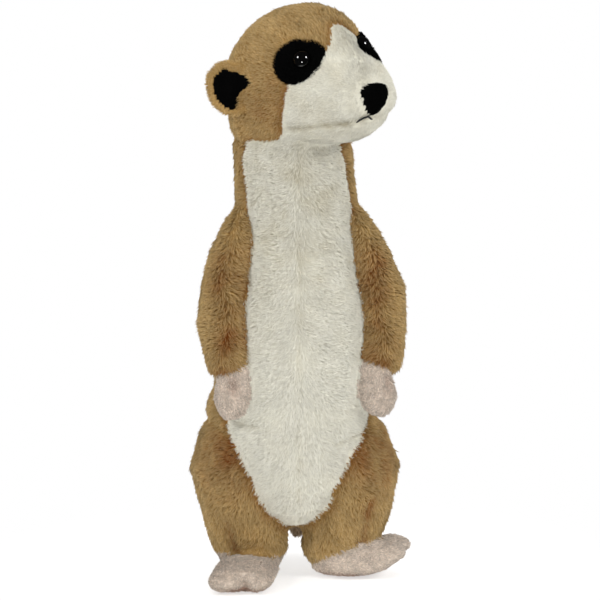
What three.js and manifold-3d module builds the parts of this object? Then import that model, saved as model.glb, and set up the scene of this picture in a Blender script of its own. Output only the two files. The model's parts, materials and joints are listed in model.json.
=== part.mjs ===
// A standing plush meerkat, in millimetres: +Z is up, the toy's chest faces -Y and its left side is +X.
// Every solid reaches out to the tips of the pile. The stuffed pieces are lofts: the rings of a lathe,
// carried along a spine and squeezed to the half sizes of each station.

import * as THREE from "three";
import { mergeVertices } from "three/addons/utils/BufferGeometryUtils.js";
import Module from "manifold-3d";

const wasm = await Module();
wasm.setup();

// ---- driving sizes -------------------------------------------------------------------------------

const GAP = 0.3; // clear space left where two pieces meet
const PANEL_DEPTH = 4.5; // how deep the sewn-on panels go below the tips of the pile
const PANEL_RINGS = { around: 14, along: 10 }; // of the hidden surface behind them
const REACH = 400; // longer than anything in the toy

const LEFT = 1;
const RIGHT = -1;

const HEAD_CENTRE = new THREE.Vector3(-0.8, -3, 264.6);
const HEAD_YAW = THREE.MathUtils.degToRad(46.5); // the head looks to the toy's left
const HEAD_ROLL = THREE.MathUtils.degToRad(-9); // and leans, its left side up

const EYE_RADIUS = 4.8;
const EYE_PLACE = {
  // the left eye is pulled into its patch, nearer the blaze
  [LEFT]: { side: 12.8, forward: 35.6, up: 12.8 },
  [RIGHT]: { side: 23.9, forward: 28.3, up: 11.2 },
};
const PATCH_PLACE = { side: 23.2, forward: 30, up: 11.3 };
const PATCH_TURN = THREE.MathUtils.degToRad(48); // each patch faces this far out from straight ahead
const PATCH_LIFT = 0.25; // and slightly up
const PATCH_SHIFT = { [LEFT]: [9.4, -1.5], [RIGHT]: [0, 0] }; // the left patch too is nearer the blaze

const FACE_BACK = 20.6; // how far forward of the head's centre the cream cheeks begin, under the eyes
const FACE_BACK_HEIGHT = -8;
const FACE_BACK_SLOPE = 0.36; // their edge runs further back towards the throat

const EAR_RADIUS = 14.2;
const EAR_CORNER = 0.12; // how far its upper outer corner reaches beyond a circle
const EAR_THICKNESS = 6.5;
const EAR_RIM = 3.6;
const EAR_PLACE = { side: 35.8, forward: -9.8, up: -0.8 };
const EAR_TURN = THREE.MathUtils.degToRad(40); // swept back from straight out
const EAR_CUP = 4.5; // how far its rim curls forward

const NECK_SEAM_HEIGHT = 192;
const HIP_MIDDLE = -0.7; // the hips and legs stand a little to the toy's right
const LEG_SPLIT = { middle: -1.9, half: 0.9 }; // the narrow gap between the tops of the legs
const TAIL_TIP_HEIGHT = 30; // the dark tip starts here

const SIDES = [
  [LEFT, "left"],
  [RIGHT, "right"],
];

const UP = new THREE.Vector3(0, 0, 1);
const DOWN = new THREE.Vector3(0, 0, -1);
const FORWARD = new THREE.Vector3(0, -1, 0);

// ---- solids and meshes ---------------------------------------------------------------------------

/** A closed geometry as a manifold-3d solid. */
function solidOf(geometry) {
  const bare = geometry.index ? geometry.toNonIndexed() : geometry.clone();
  for (const name of Object.keys(bare.attributes)) {
    if (name !== "position") bare.deleteAttribute(name);
  }
  const merged = mergeVertices(bare, 1e-3);
  return new wasm.Manifold(
    new wasm.Mesh({
      numProp: 3,
      vertProperties: merged.attributes.position.array,
      triVerts: new Uint32Array(merged.index.array),
    }),
  );
}

/** A named mesh of a solid. */
function meshOf(name, solid, material) {
  const data = solid.getMesh();
  const geometry = new THREE.BufferGeometry();
  geometry.setAttribute("position", new THREE.BufferAttribute(data.vertProperties, 3));
  geometry.setIndex(new THREE.BufferAttribute(data.triVerts, 1));
  geometry.computeVertexNormals();
  const mesh = new THREE.Mesh(geometry, material);
  mesh.name = name;
  return mesh;
}

/** A solid moved by a matrix. */
function moved(solid, matrix) {
  return solid.transform(matrix.elements);
}

/** The largest body of a solid, without the crumbs that a cut can leave. */
function mainBody(solid) {
  return solid.decompose().reduce((best, body) => (body.volume() > best.volume() ? body : best));
}

/** A block whose one face lies on the plane through the point; the block is on the normal's side. */
function halfSpace(point, normal) {
  const block = new THREE.BoxGeometry(REACH, REACH, REACH);
  block.translate(0, 0, REACH / 2);
  block.applyQuaternion(new THREE.Quaternion().setFromUnitVectors(UP, normal));
  block.translate(point.x, point.y, point.z);
  return solidOf(block);
}

/** The space on one side of the plane at x = middle, starting at a distance from it. */
function sideSpace(side, distance, middle = 0) {
  return halfSpace(new THREE.Vector3(middle + side * distance, 0, 0), new THREE.Vector3(side, 0, 0));
}

/** How far a ring is open at t of the way along a loft whose ends round off over the given shares. */
function endRounding(t, startShare, endShare) {
  const nearer = Math.min(1, t / startShare, (1 - t) / endShare);
  return Math.sqrt(Math.max(0, 1 - (1 - nearer) ** 2));
}

/**
 * A stuffed piece. Each station is { at: [x, y, z], side, front, back, power }: a point of the spine
 * and the half sizes there across it, to its front and to its back. Front is -Y on a spine that runs
 * up, and down on a spine that runs forward. A power under 1 makes the front half of the section
 * squarer. The rings lie square to the spine, or all square to one facing where that is given.
 */
function loft(stations, { around, along, round = [0.15, 0.15], grow = 0, facing }) {
  const curveOf = (pick) => new THREE.CatmullRomCurve3(stations.map((s) => new THREE.Vector3(...pick(s))));
  const spine = curveOf((station) => station.at);
  const sizes = curveOf(({ side, front, back }) => [side, front, back]);
  const powers = curveOf(({ power = 1 }) => [power, 0, 0]);
  const outline = [];
  for (let i = 0; i <= along; i++) {
    const t = (1 - Math.cos((Math.PI * i) / along)) / 2; // closer rings where the ends round off
    outline.push(new THREE.Vector2(endRounding(t, ...round), t));
  }
  outline[0].x = 0;
  outline[along].x = 0;
  const lathe = new THREE.LatheGeometry(outline, around);
  const places = lathe.attributes.position;
  const across = new THREE.Vector3();
  const ahead = new THREE.Vector3();
  for (let i = 0; i < places.count; i++) {
    const t = THREE.MathUtils.clamp(places.getY(i), 0, 1);
    const open = Math.hypot(places.getX(i), places.getZ(i));
    let cos = open > 0 ? places.getX(i) / open : 0;
    if (Math.abs(cos) < 1e-6) cos = 0; // a small power would part the two ends of a ring
    const sin = open > 0 ? places.getZ(i) / open : 0;
    const tangent = facing ?? spine.getTangent(t);
    const size = sizes.getPoint(t);
    across.set(1, 0, 0).addScaledVector(tangent, -tangent.x).normalize();
    ahead.crossVectors(across, tangent);
    const power = sin > 0 ? powers.getPoint(t).x : 1;
    const sideways = Math.sign(cos) * Math.abs(cos) ** power * open * (size.x + grow);
    const onwards = Math.sign(sin) * Math.abs(sin) ** power * open * ((sin > 0 ? size.y : size.z) + grow);
    const endwards = grow * (t < 0.5 ? -1 : 1) * (1 - open); // the ends move out as the piece grows
    const place = spine
      .getPoint(t)
      .addScaledVector(across, sideways)
      .addScaledVector(ahead, onwards)
      .addScaledVector(tangent, endwards);
    places.setXYZ(i, place.x, place.y, place.z);
  }
  return solidOf(lathe);
}

/** A prism along Z, centred on Z = 0, of the closed smooth outline through the given points. */
function prism(points, length, grow = 0, stepsPerPoint = 2) {
  const corners = points.map(([x, y]) => new THREE.Vector2(x, y));
  const middle = corners.reduce((sum, p) => sum.add(p), new THREE.Vector2()).divideScalar(corners.length);
  const rim = corners.map((p) => {
    const out = p.clone().sub(middle);
    out.setLength(out.length() + grow).add(middle);
    return new THREE.Vector3(out.x, out.y, 0);
  });
  const curve = new THREE.CatmullRomCurve3(rim, true);
  const shape = new THREE.Shape(curve.getSpacedPoints(points.length * stepsPerPoint).slice(0, -1));
  const body = new THREE.ExtrudeGeometry(shape, { depth: length, bevelEnabled: false });
  body.translate(0, 0, -length / 2);
  return solidOf(body);
}

/** The outline whose right half is given, from its first point on the middle line to its last. */
function mirrored(rightHalf) {
  const leftHalf = rightHalf.slice(1, -1).map(([x, y]) => [-x, y]);
  return [...rightHalf, ...leftHalf.reverse()];
}

const belowFloor = halfSpace(new THREE.Vector3(), DOWN);

// ---- finishes ------------------------------------------------------------------------------------

/** A cloth or plastic material. */
function finish(color, roughness = 0.95) {
  return new THREE.MeshStandardMaterial({ color, roughness, metalness: 0 });
}

const TAN_PLUSH = finish(0xa58a5b);
const CREAM_PLUSH = finish(0xd6d3c4);
const BLACK_PLUSH = finish(0x0b0b0b);
const DARK_PLUSH = finish(0x4b3a29);
const PINK_VELOUR = finish(0xbcae9f);
const BLACK_PLASTIC = finish(0x050505, 0.08);

// ---- trunk and neck ------------------------------------------------------------------------------

const TORSO = [
  { at: [HIP_MIDDLE, 2, 25], side: 20, front: 20, back: 22 },
  { at: [HIP_MIDDLE, 1, 42], side: 31, front: 29, back: 31 },
  { at: [HIP_MIDDLE, 0, 62], side: 41, front: 37, back: 38 },
  { at: [-3.2, 0, 86], side: 45.5, front: 42, back: 39 },
  { at: [-1, 0, 112], side: 44.5, front: 42.5, back: 37 },
  { at: [0, 0, 138], side: 41.5, front: 40, back: 35.5 },
  { at: [0, 0, 162], side: 37.5, front: 36, back: 33.5 },
  { at: [0, 0, 184], side: 34.5, front: 32, back: 32 },
  { at: [-1.2, 0, 206], side: 32, front: 29.5, back: 31 },
  { at: [-2.6, 0, 228], side: 31.4, front: 28, back: 31 },
  { at: [-3, 1, 250], side: 34, front: 26, back: 33 },
];

function torsoLoft(grow = 0, rings = { around: 20, along: 16 }) {
  return loft(TORSO, { ...rings, round: [0.14, 0.08], grow });
}

/** The belly panel's edges from between the legs to the throat: a height, its right and its left edge. */
const BELLY_EDGES = [
  [42, -15, 14],
  [55, -23, 20.5],
  [68, -29, 28],
  [81, -36, 36],
  [93, -42, 41],
  [120, -37, 37],
  [150, -30, 36],
  [180, -27, 34.5],
  [194, -26, 31],
  [208, -27, 25.5],
  [236, -28.5, 22],
];
const BELLY_TIP = [0, 33];
const THROAT = [-3, 242];

/** The space in front of the torso that the belly panel fills. */
function bellySpace(grow = 0) {
  const upright = new THREE.Matrix4().makeRotationX(Math.PI / 2);
  upright.premultiply(new THREE.Matrix4().makeTranslation(0, -REACH / 2, 0));
  const rightEdge = BELLY_EDGES.map(([z, right]) => [right, z]);
  const leftEdge = BELLY_EDGES.map(([z, , left]) => [left, z]);
  const outline = [BELLY_TIP, ...leftEdge, THROAT, ...rightEdge.reverse()];
  return moved(prism(outline, REACH, grow, 1), upright);
}

// ---- arms and hands ------------------------------------------------------------------------------

/** Each arm's spine from inside the shoulder to the cuff. */
const ARM_SPINES = {
  [RIGHT]: [
    [-19, -4, 200],
    [-26.5, -9, 187],
    [-33, -15, 171],
    [-37, -19, 153],
    [-38.2, -22, 136],
    [-34.8, -26, 120],
    [-31.6, -29, 110.5],
  ],
  [LEFT]: [
    [19, -2, 200],
    [27, -5, 187],
    [35.8, -8, 171],
    [42.3, -10, 153],
    [43.5, -12, 136],
    [42.3, -16, 120],
    [39.6, -19.6, 110.5],
  ],
};
const ARM_HALF_WIDTHS = [9, 11.5, 13.2, 14, 13.8, 13, 12];
const ARM_HALF_DEPTHS = [10, 12.5, 14, 14, 13.5, 13, 12];

function armLoft(side, grow = 0) {
  const stations = ARM_SPINES[side].map((at, i) => ({
    at,
    side: ARM_HALF_WIDTHS[i],
    front: ARM_HALF_DEPTHS[i],
    back: ARM_HALF_DEPTHS[i],
  }));
  return loft(stations, { around: 14, along: 10, round: [0.1, 0.09], grow });
}

/** Each mitten hand's spine, from inside the cuff to the finger tips. */
const HAND_SPINES = {
  [RIGHT]: [
    [-29, -28.5, 122],
    [-31, -31.2, 109],
    [-33.5, -33, 98],
    [-36.5, -33.5, 88],
  ],
  [LEFT]: [
    [37, -20, 122],
    [39.3, -23.7, 109],
    [42.2, -26, 98],
    [45.5, -27, 89],
  ],
};
const HAND_HALF_WIDTHS = [10.8, 11.6, 10.6, 6.5];
const HAND_HALF_DEPTH = 7;

function handLoft(side, grow = 0) {
  const stations = HAND_SPINES[side].map((at, i) => ({
    at,
    side: HAND_HALF_WIDTHS[i],
    front: HAND_HALF_DEPTH,
    back: HAND_HALF_DEPTH,
  }));
  return loft(stations, { around: 12, along: 8, round: [0.25, 0.3], grow });
}

// ---- legs and feet -------------------------------------------------------------------------------

/** A leg from under the foot to inside the hip; the thighs lean a little to the toy's right. */
const LEG = [
  { at: [25, 2, -2], side: 9, front: 8, back: 7 },
  { at: [23.4, 1, 11], side: 19.6, front: 13, back: 16, lean: -0.6 },
  { at: [24.6, 1, 25], side: 22.6, front: 20, back: 26, lean: -0.6 },
  { at: [29.5, 1, 42], side: 22, front: 29, back: 31 },
  { at: [32.5, 1, 63], side: 23.2, front: 32, back: 31, lean: -1 },
  { at: [31, 1, 82], side: 15, front: 26, back: 27, lean: -2.4 },
  { at: [27, 1, 100], side: 10, front: 18, back: 20, lean: -3 },
];

function legLoft(side, grow = 0) {
  const stations = LEG.map((station) => {
    const [x, y, z] = station.at;
    return { ...station, at: [HIP_MIDDLE + x * side + (station.lean ?? 0), y, z] };
  });
  return loft(stations, { around: 14, along: 10, round: [0.1, 0.15], grow });
}

/** Where each heel is, its length, how far the foot turns out, and how far its two ends curl up. */
const FEET = {
  [RIGHT]: { heel: [-23.5, 7], length: 54, turnOut: 8, heelCurl: 1, toeCurl: 1 },
  [LEFT]: { heel: [10, 4], length: 45.5, turnOut: 88, heelCurl: 2, toeCurl: 12.5 },
};

/** Shares of a foot's length, with its half width, height, and its share of each curl. */
const FOOT_STATIONS = [
  { along: 0, side: 14, height: 13, heel: 1, toe: 0 },
  { along: 0.22, side: 16.5, height: 16, heel: 0.3, toe: 0 },
  { along: 0.5, side: 17.2, height: 16, heel: 0, toe: 0.05 },
  { along: 0.76, side: 17.2, height: 13.5, heel: 0, toe: 0.3 },
  { along: 1, side: 16, height: 12.5, heel: 0, toe: 1 },
];

/** Two toes: how far out of the foot's middle, how far along its length, and their half sizes. */
const TOES = [
  { out: 7.6, along: 0.86, half: [9.2, 12, 6.2] },
  { out: -7.6, along: 0.8, half: [9.2, 12, 6.2] },
];
const SOLE_CUT = 1; // shaved off the sole to make its flat
const SEAM_SHARE = 0.4; // the widest line of the foot is this far up its height
const SOLE_POWER = 0.75;

/** The frame of a foot: its origin on the floor under the heel, its toes along -Y. */
function footMatrix(side) {
  const { heel, turnOut } = FEET[side];
  const turn = new THREE.Matrix4().makeRotationZ(THREE.MathUtils.degToRad(turnOut * side));
  return turn.setPosition(heel[0], heel[1], 0);
}

function footLoft(side, grow = 0) {
  const { length, heelCurl, toeCurl } = FEET[side];
  const stations = FOOT_STATIONS.map((station) => {
    const lift = station.heel * heelCurl + station.toe * toeCurl;
    const seam = station.height * SEAM_SHARE + SOLE_CUT;
    return {
      at: [0, -station.along * length, lift + seam - SOLE_CUT],
      side: station.side,
      front: seam,
      back: station.height - seam + SOLE_CUT,
      power: SOLE_POWER,
    };
  });
  let foot = loft(stations, { around: 14, along: 9, round: [0.22, 0.14], grow });
  for (const { out, along, half } of TOES) {
    const toe = new THREE.SphereGeometry(1, 10, 6);
    toe.scale(...half.map((size) => size + grow));
    toe.translate(out * side, -along * length, toeCurl * along ** 2 + half[2] - SOLE_CUT);
    foot = foot.add(solidOf(toe));
  }
  return moved(foot, footMatrix(side));
}

// ---- tail ----------------------------------------------------------------------------------------

const TAIL = [
  { at: [0, 24, 92], side: 11, front: 11, back: 11 },
  { at: [0, 40, 81], side: 12, front: 12, back: 12 },
  { at: [0, 49, 64], side: 11.5, front: 11.5, back: 11.5 },
  { at: [0, 51, 46], side: 10.5, front: 10.5, back: 10.5 },
  { at: [0, 48, 28], side: 9, front: 9, back: 9 },
  { at: [0, 43, 11], side: 7, front: 7, back: 7 },
];

// ---- head ----------------------------------------------------------------------------------------

/** The head from its back to the tip of the muzzle; top and bottom are heights from its centre. */
const HEAD_STATIONS = [
  { forward: -37, side: 35, top: 28, bottom: -38, power: 0.3 },
  { forward: -18, side: 37.5, top: 32.5, bottom: -38, power: 0.3 },
  { forward: 0, side: 36.5, top: 36.5, bottom: -37.5, power: 0.5 },
  { forward: 16, side: 34, top: 37, bottom: -37, power: 0.68 },
  { forward: 28, side: 29.8, top: 31.5, bottom: -36, power: 0.78 },
  { forward: 38, side: 27.5, top: 19.5, bottom: -34.5, power: 0.9 },
  { forward: 47, side: 23.3, top: 7, bottom: -31, power: 1 },
  { forward: 55.5, side: 18, top: -1, bottom: -25, power: 1 },
];

function headLoft(grow = 0, rings = { around: 22, along: 14 }) {
  const stations = HEAD_STATIONS.map(({ forward, side, top, bottom, power }) => {
    const middle = (top + bottom) / 2;
    return { at: [0, -forward, middle], side, front: middle - bottom, back: top - middle, power };
  });
  return loft(stations, {
    ...rings,
    round: [0.26, 0.13],
    grow,
    facing: FORWARD,
  });
}

/** The right half of the face panel seen from in front, from the chin round to the top of the blaze. */
const FACE_OUTLINE = [
  [0, -60],
  [60, -50],
  [60, -8],
  [34, -4],
  [29, 4.5],
  [21.3, 10.4],
  [13.8, 15],
  [8.5, 21],
  [5.5, 27],
  [0, 30],
];

/** The space in front of the head that the cream face panel fills. */
function faceSpace(grow = 0) {
  const upright = new THREE.Matrix4().makeRotationX(Math.PI / 2);
  const edge = new THREE.Vector3(0, grow - FACE_BACK, FACE_BACK_HEIGHT);
  const front = halfSpace(edge, new THREE.Vector3(0, -1, -FACE_BACK_SLOPE).normalize());
  return moved(prism(mirrored(FACE_OUTLINE), REACH, grow, 1), upright).intersect(front);
}

/** The outline of the black patch round an eye, [forward, up] from its place along the cloth. */
const PATCH_OUTLINE = [
  [10.8, 4.3],
  [7.4, -3],
  [2.2, -8],
  [-2.5, -11.3],
  [-7.5, -11.8],
  [-13.5, -7.5],
  [-15.5, -0.5],
  [-13, 6.5],
  [-5, 10.2],
  [4.5, 8.8],
];

/** The frame of a patch in the head: +Z looks out of the head and +X points forward along the cloth. */
function patchMatrix(side) {
  const out = new THREE.Vector3(side * Math.sin(PATCH_TURN), -Math.cos(PATCH_TURN), PATCH_LIFT).normalize();
  const ahead = new THREE.Vector3(-side * Math.cos(PATCH_TURN), -Math.sin(PATCH_TURN), 0).normalize();
  const upward = new THREE.Vector3().crossVectors(out, ahead);
  if (upward.z < 0) upward.negate();
  const place = new THREE.Vector3(side * PATCH_PLACE.side, -PATCH_PLACE.forward, PATCH_PLACE.up);
  return new THREE.Matrix4().makeBasis(ahead, upward, out).setPosition(place);
}

/** The space in front of an eye that its black patch fills. */
function patchSpace(side, grow = 0) {
  const [ahead, upward] = PATCH_SHIFT[side];
  const shifted = PATCH_OUTLINE.map(([x, y]) => [x + ahead, y + upward]);
  return moved(prism(shifted, REACH, grow), patchMatrix(side)).intersect(sideSpace(side, 1));
}

function eyeBall(side, grow = 0) {
  const place = EYE_PLACE[side];
  const frame = patchMatrix(side).setPosition(side * place.side, -place.forward, place.up);
  return moved(solidOf(new THREE.SphereGeometry(EYE_RADIUS + grow, 12, 8)), frame);
}

/** The nose from its top to its foot, a rounded triangle that wraps the tip of the muzzle. */
const NOSE = [
  { at: [0, -52.2, -3.5], side: 8, front: 5, back: 5 },
  { at: [-0.4, -53.2, -8], side: 10.2, front: 6, back: 6 },
  { at: [-2, -52.7, -14], side: 9, front: 6, back: 6 },
  { at: [-4.6, -49.6, -21.5], side: 4.4, front: 4.5, back: 4 },
];

function noseLoft(grow = 0) {
  return loft(NOSE, { around: 12, along: 7, round: [0.3, 0.3], grow });
}

/** A cupped disc. Its own frame has +X out of the head and +Z up, and its cup opens to -Y. */
function cuppedDisc(radius, thickness, forward) {
  const disc = new THREE.SphereGeometry(1, 14, 6);
  disc.rotateX(Math.PI / 2);
  disc.scale(radius, thickness / 2, radius);
  const places = disc.attributes.position;
  for (let i = 0; i < places.count; i++) {
    const [x, y, z] = [places.getX(i), places.getY(i), places.getZ(i)];
    const corner = 1 + (2 * EAR_CORNER * Math.max(0, x) * Math.max(0, z)) / radius ** 2;
    const fromMiddle = Math.hypot(x, z) / EAR_RADIUS;
    places.setXYZ(i, x * corner, y - EAR_CUP * fromMiddle ** 2 - forward, z * corner);
  }
  return solidOf(disc);
}

/** The frame of an ear in the head. */
function earMatrix(side) {
  const { side: across, forward, up } = EAR_PLACE;
  const turn = new THREE.Matrix4().makeRotationZ(side * EAR_TURN);
  if (side === RIGHT) turn.multiply(new THREE.Matrix4().makeScale(-1, 1, 1));
  return turn.setPosition(side * across, -forward, up);
}

function earFlap(side) {
  return moved(cuppedDisc(EAR_RADIUS, EAR_THICKNESS, 0), earMatrix(side));
}

/** The black lining that fills the ear's cup. */
function earLining(side, grow = 0) {
  const radius = EAR_RADIUS - EAR_RIM + grow;
  return moved(cuppedDisc(radius, EAR_THICKNESS - 2 + 2 * grow, 2.2), earMatrix(side));
}

// ---- assembly ------------------------------------------------------------------------------------

const toy = new THREE.Group();
const head = new THREE.Group();
head.position.copy(HEAD_CENTRE);
head.rotation.set(0, HEAD_ROLL, HEAD_YAW, "ZXY");
toy.add(head);
toy.updateMatrixWorld(true);

// The head's pieces, in the head's frame.
const skull = headLoft();
const skullRoom = headLoft(GAP);
const coreRoom = headLoft(-PANEL_DEPTH - GAP, PANEL_RINGS);
const shell = skull.subtract(headLoft(-PANEL_DEPTH, PANEL_RINGS));
const noseRoom = noseLoft(GAP);

let tanHead = skull.subtract(noseRoom);
let face = shell.intersect(faceSpace()).subtract(noseRoom);
tanHead = tanHead.subtract(faceSpace(GAP).subtract(coreRoom));
for (const [side, word] of SIDES) {
  const eyeRoom = eyeBall(side, GAP);
  const patchRoom = patchSpace(side, GAP).subtract(coreRoom);
  tanHead = tanHead.subtract(patchRoom).subtract(eyeRoom);
  face = face.subtract(patchRoom).subtract(eyeRoom);
  head.add(meshOf("eye_patch_" + word, shell.intersect(patchSpace(side)).subtract(eyeRoom), BLACK_PLUSH));
  head.add(meshOf("eye_" + word, eyeBall(side), BLACK_PLASTIC));

  const flap = earFlap(side).subtract(earLining(side, GAP)).subtract(skullRoom);
  head.add(meshOf("ear_" + word, mainBody(flap), TAN_PLUSH));
  head.add(meshOf("ear_lining_" + word, mainBody(earLining(side).subtract(skullRoom)), BLACK_PLUSH));
}
head.add(meshOf("head", mainBody(tanHead), TAN_PLUSH));
head.add(meshOf("face", mainBody(face), CREAM_PLUSH));
head.add(meshOf("nose", noseLoft(), BLACK_PLUSH));

// The body's pieces, in the toy's frame.
const headRoom = moved(skullRoom, head.matrixWorld);
const torsoRoom = torsoLoft(GAP);
const torso = torsoLoft().subtract(headRoom);
const bellyRoom = bellySpace(GAP).subtract(torsoLoft(-PANEL_DEPTH - GAP, PANEL_RINGS));
const belly = bellySpace().subtract(torsoLoft(-PANEL_DEPTH, PANEL_RINGS)).intersect(torso);
const tanTorso = torso.subtract(bellyRoom);
const neckSeam = new THREE.Vector3(0, 0, NECK_SEAM_HEIGHT);
toy.add(meshOf("neck", mainBody(tanTorso.intersect(halfSpace(neckSeam, UP))), TAN_PLUSH));
neckSeam.z -= GAP;
toy.add(meshOf("trunk", mainBody(tanTorso.intersect(halfSpace(neckSeam, DOWN))), TAN_PLUSH));
toy.add(meshOf("belly", mainBody(belly), CREAM_PLUSH));

for (const [side, word] of SIDES) {
  const handRoom = handLoft(side, GAP);
  const arm = armLoft(side).subtract(torsoRoom).subtract(handRoom).subtract(headRoom);
  toy.add(meshOf("arm_" + word, mainBody(arm), TAN_PLUSH));
  toy.add(meshOf("hand_" + word, mainBody(handLoft(side).subtract(torsoRoom)), PINK_VELOUR));

  const leg = legLoft(side)
    .intersect(sideSpace(side, LEG_SPLIT.half, LEG_SPLIT.middle))
    .subtract(torsoRoom)
    .subtract(bellySpace(GAP))
    .subtract(handRoom)
    .subtract(footLoft(side, GAP))
    .subtract(belowFloor);
  toy.add(meshOf("leg_" + word, mainBody(leg), TAN_PLUSH));
  toy.add(meshOf("foot_" + word, mainBody(footLoft(side).subtract(belowFloor)), PINK_VELOUR));
}

const tailRoom = torsoRoom.add(legLoft(LEFT, GAP)).add(legLoft(RIGHT, GAP));
const tail = loft(TAIL, { around: 12, along: 10, round: [0.1, 0.14] }).subtract(tailRoom);
const tipSeam = new THREE.Vector3(0, 0, TAIL_TIP_HEIGHT);
toy.add(meshOf("tail", mainBody(tail.intersect(halfSpace(tipSeam, UP))), TAN_PLUSH));
tipSeam.z -= GAP;
toy.add(meshOf("tail_tip", mainBody(tail.intersect(halfSpace(tipSeam, DOWN))), DARK_PLUSH));

// The toy's frame starts on the floor, under the middle of its box.
const box = new THREE.Box3().setFromObject(toy, true);
const middle = box.getCenter(new THREE.Vector3());
toy.position.set(-middle.x, -middle.y, -box.min.z);

export default toy;
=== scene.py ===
"""A standing plush meerkat, sewn and stuffed around its CAD frame.

The CAD solids reach out to the tips of the pile. One cloth skin is remeshed from copies of them, sunk by
the depth of the pile and cut into its sewn panels. Each panel is then planted with tufts that follow the
lie of its pile. Lengths in the classes are in millimetres and everything handed to Blender is in metres.
"""

import json
import logging
import math
from collections.abc import Sequence
from dataclasses import dataclass, field
from enum import Enum

import bmesh
import bpy
import numpy as np
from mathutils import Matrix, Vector
from mathutils.bvhtree import BVHTree
from mathutils.kdtree import KDTree

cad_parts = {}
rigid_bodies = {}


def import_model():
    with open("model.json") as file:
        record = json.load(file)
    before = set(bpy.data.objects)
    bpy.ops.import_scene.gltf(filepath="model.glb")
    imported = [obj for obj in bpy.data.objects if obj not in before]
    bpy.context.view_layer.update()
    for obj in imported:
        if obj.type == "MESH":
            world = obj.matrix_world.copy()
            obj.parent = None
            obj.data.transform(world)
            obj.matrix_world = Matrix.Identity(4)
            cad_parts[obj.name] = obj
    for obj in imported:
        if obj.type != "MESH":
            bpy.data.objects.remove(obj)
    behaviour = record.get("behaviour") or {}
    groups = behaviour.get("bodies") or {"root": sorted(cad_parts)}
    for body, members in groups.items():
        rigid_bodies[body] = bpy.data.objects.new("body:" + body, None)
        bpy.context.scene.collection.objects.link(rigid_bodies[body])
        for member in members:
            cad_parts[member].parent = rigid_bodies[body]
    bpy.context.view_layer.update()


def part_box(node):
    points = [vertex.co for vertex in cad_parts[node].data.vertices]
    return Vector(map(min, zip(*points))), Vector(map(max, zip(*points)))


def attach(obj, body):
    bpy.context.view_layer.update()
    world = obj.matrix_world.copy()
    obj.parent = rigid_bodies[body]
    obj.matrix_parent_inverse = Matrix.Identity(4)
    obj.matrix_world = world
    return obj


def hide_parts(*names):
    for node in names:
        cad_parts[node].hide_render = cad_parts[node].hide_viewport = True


LOG = logging.getLogger("plush_meerkat")
MM = 0.001
BAKE_MAP = "OFBake"
SEED = 7

LEFT = 1
RIGHT = -1
DOWN = np.array([0.0, 0.0, -1.0])
BACK = np.array([0.0, 1.0, 0.0])
ACROSS = np.array([1.0, 0.0, 0.0])


class Cloth(Enum):
    """The cloths that the toy is sewn from, each by its material slot in the record."""

    TAN = "tan_plush"
    CREAM = "cream_plush"
    BLACK = "black_plush"
    DARK = "dark_plush"
    VELOUR = "pink_velour"


# ---- numbers and arrays ----------------------------------------------------------------------------


def linear_rgba(hex_colour: str) -> tuple[float, float, float, float]:
    """Turns an sRGB hex colour into the linear colour that shaders take.

    Args:
        hex_colour: six hex digits after a hash sign.

    Returns:
        Linear red, green and blue, and an alpha of one.
    """
    channels = [int(hex_colour[i : i + 2], 16) / 255 for i in (1, 3, 5)]
    red, green, blue = (c / 12.92 if c <= 0.04045 else ((c + 0.055) / 1.055) ** 2.4 for c in channels)
    return red, green, blue, 1.0


def unit(vectors: np.ndarray) -> np.ndarray:
    """Vectors along the last axis, brought to length one."""
    return vectors / np.maximum(np.linalg.norm(vectors, axis=-1, keepdims=True), 1e-12)


def along_surface(vectors: np.ndarray, normals: np.ndarray) -> np.ndarray:
    """Unit vectors of what is left of the vectors in the surface with these normals."""
    return unit(vectors - normals * np.sum(vectors * normals, axis=-1, keepdims=True))


def bell(distance: np.ndarray, width: float) -> np.ndarray:
    """One at no distance, falling off smoothly over the width on both sides."""
    return np.exp(-((distance / width) ** 2))


def ramp(values: np.ndarray, start: float, end: float) -> np.ndarray:
    """Zero before start, one after end, and smooth between them."""
    t = np.clip((values - start) / (end - start), 0, 1)
    return t * t * (3 - 2 * t)


def box_centre(node: str) -> np.ndarray:
    """The middle of a CAD node's box, in millimetres."""
    low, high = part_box(node)
    return (np.array(low) + np.array(high)) / 2 / MM


# ---- finishes --------------------------------------------------------------------------------------


def add_node(
    tree: bpy.types.NodeTree,
    kind: str,
    settings: dict | None = None,
    values: dict | None = None,
    links: dict | None = None,
) -> bpy.types.Node:
    """Adds a node to a tree with its settings, input values and links.

    Args:
        tree: the node tree.
        kind: the node's type name.
        settings: properties of the node by name.
        values: input values by socket name or number.
        links: source sockets by the input's socket name or number.

    Returns:
        The new node.
    """
    node = tree.nodes.new(kind)
    for name, value in (settings or {}).items():
        setattr(node, name, value)
    for name, value in (values or {}).items():
        node.inputs[name].default_value = value
    for name, source in (links or {}).items():
        tree.links.new(source, node.inputs[name])
    return node


def new_material(name: str) -> tuple[bpy.types.Material, bpy.types.NodeTree]:
    """A material with an empty node tree."""
    material = bpy.data.materials.new(name)
    material.use_nodes = True
    material.node_tree.nodes.clear()
    return material, material.node_tree


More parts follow.
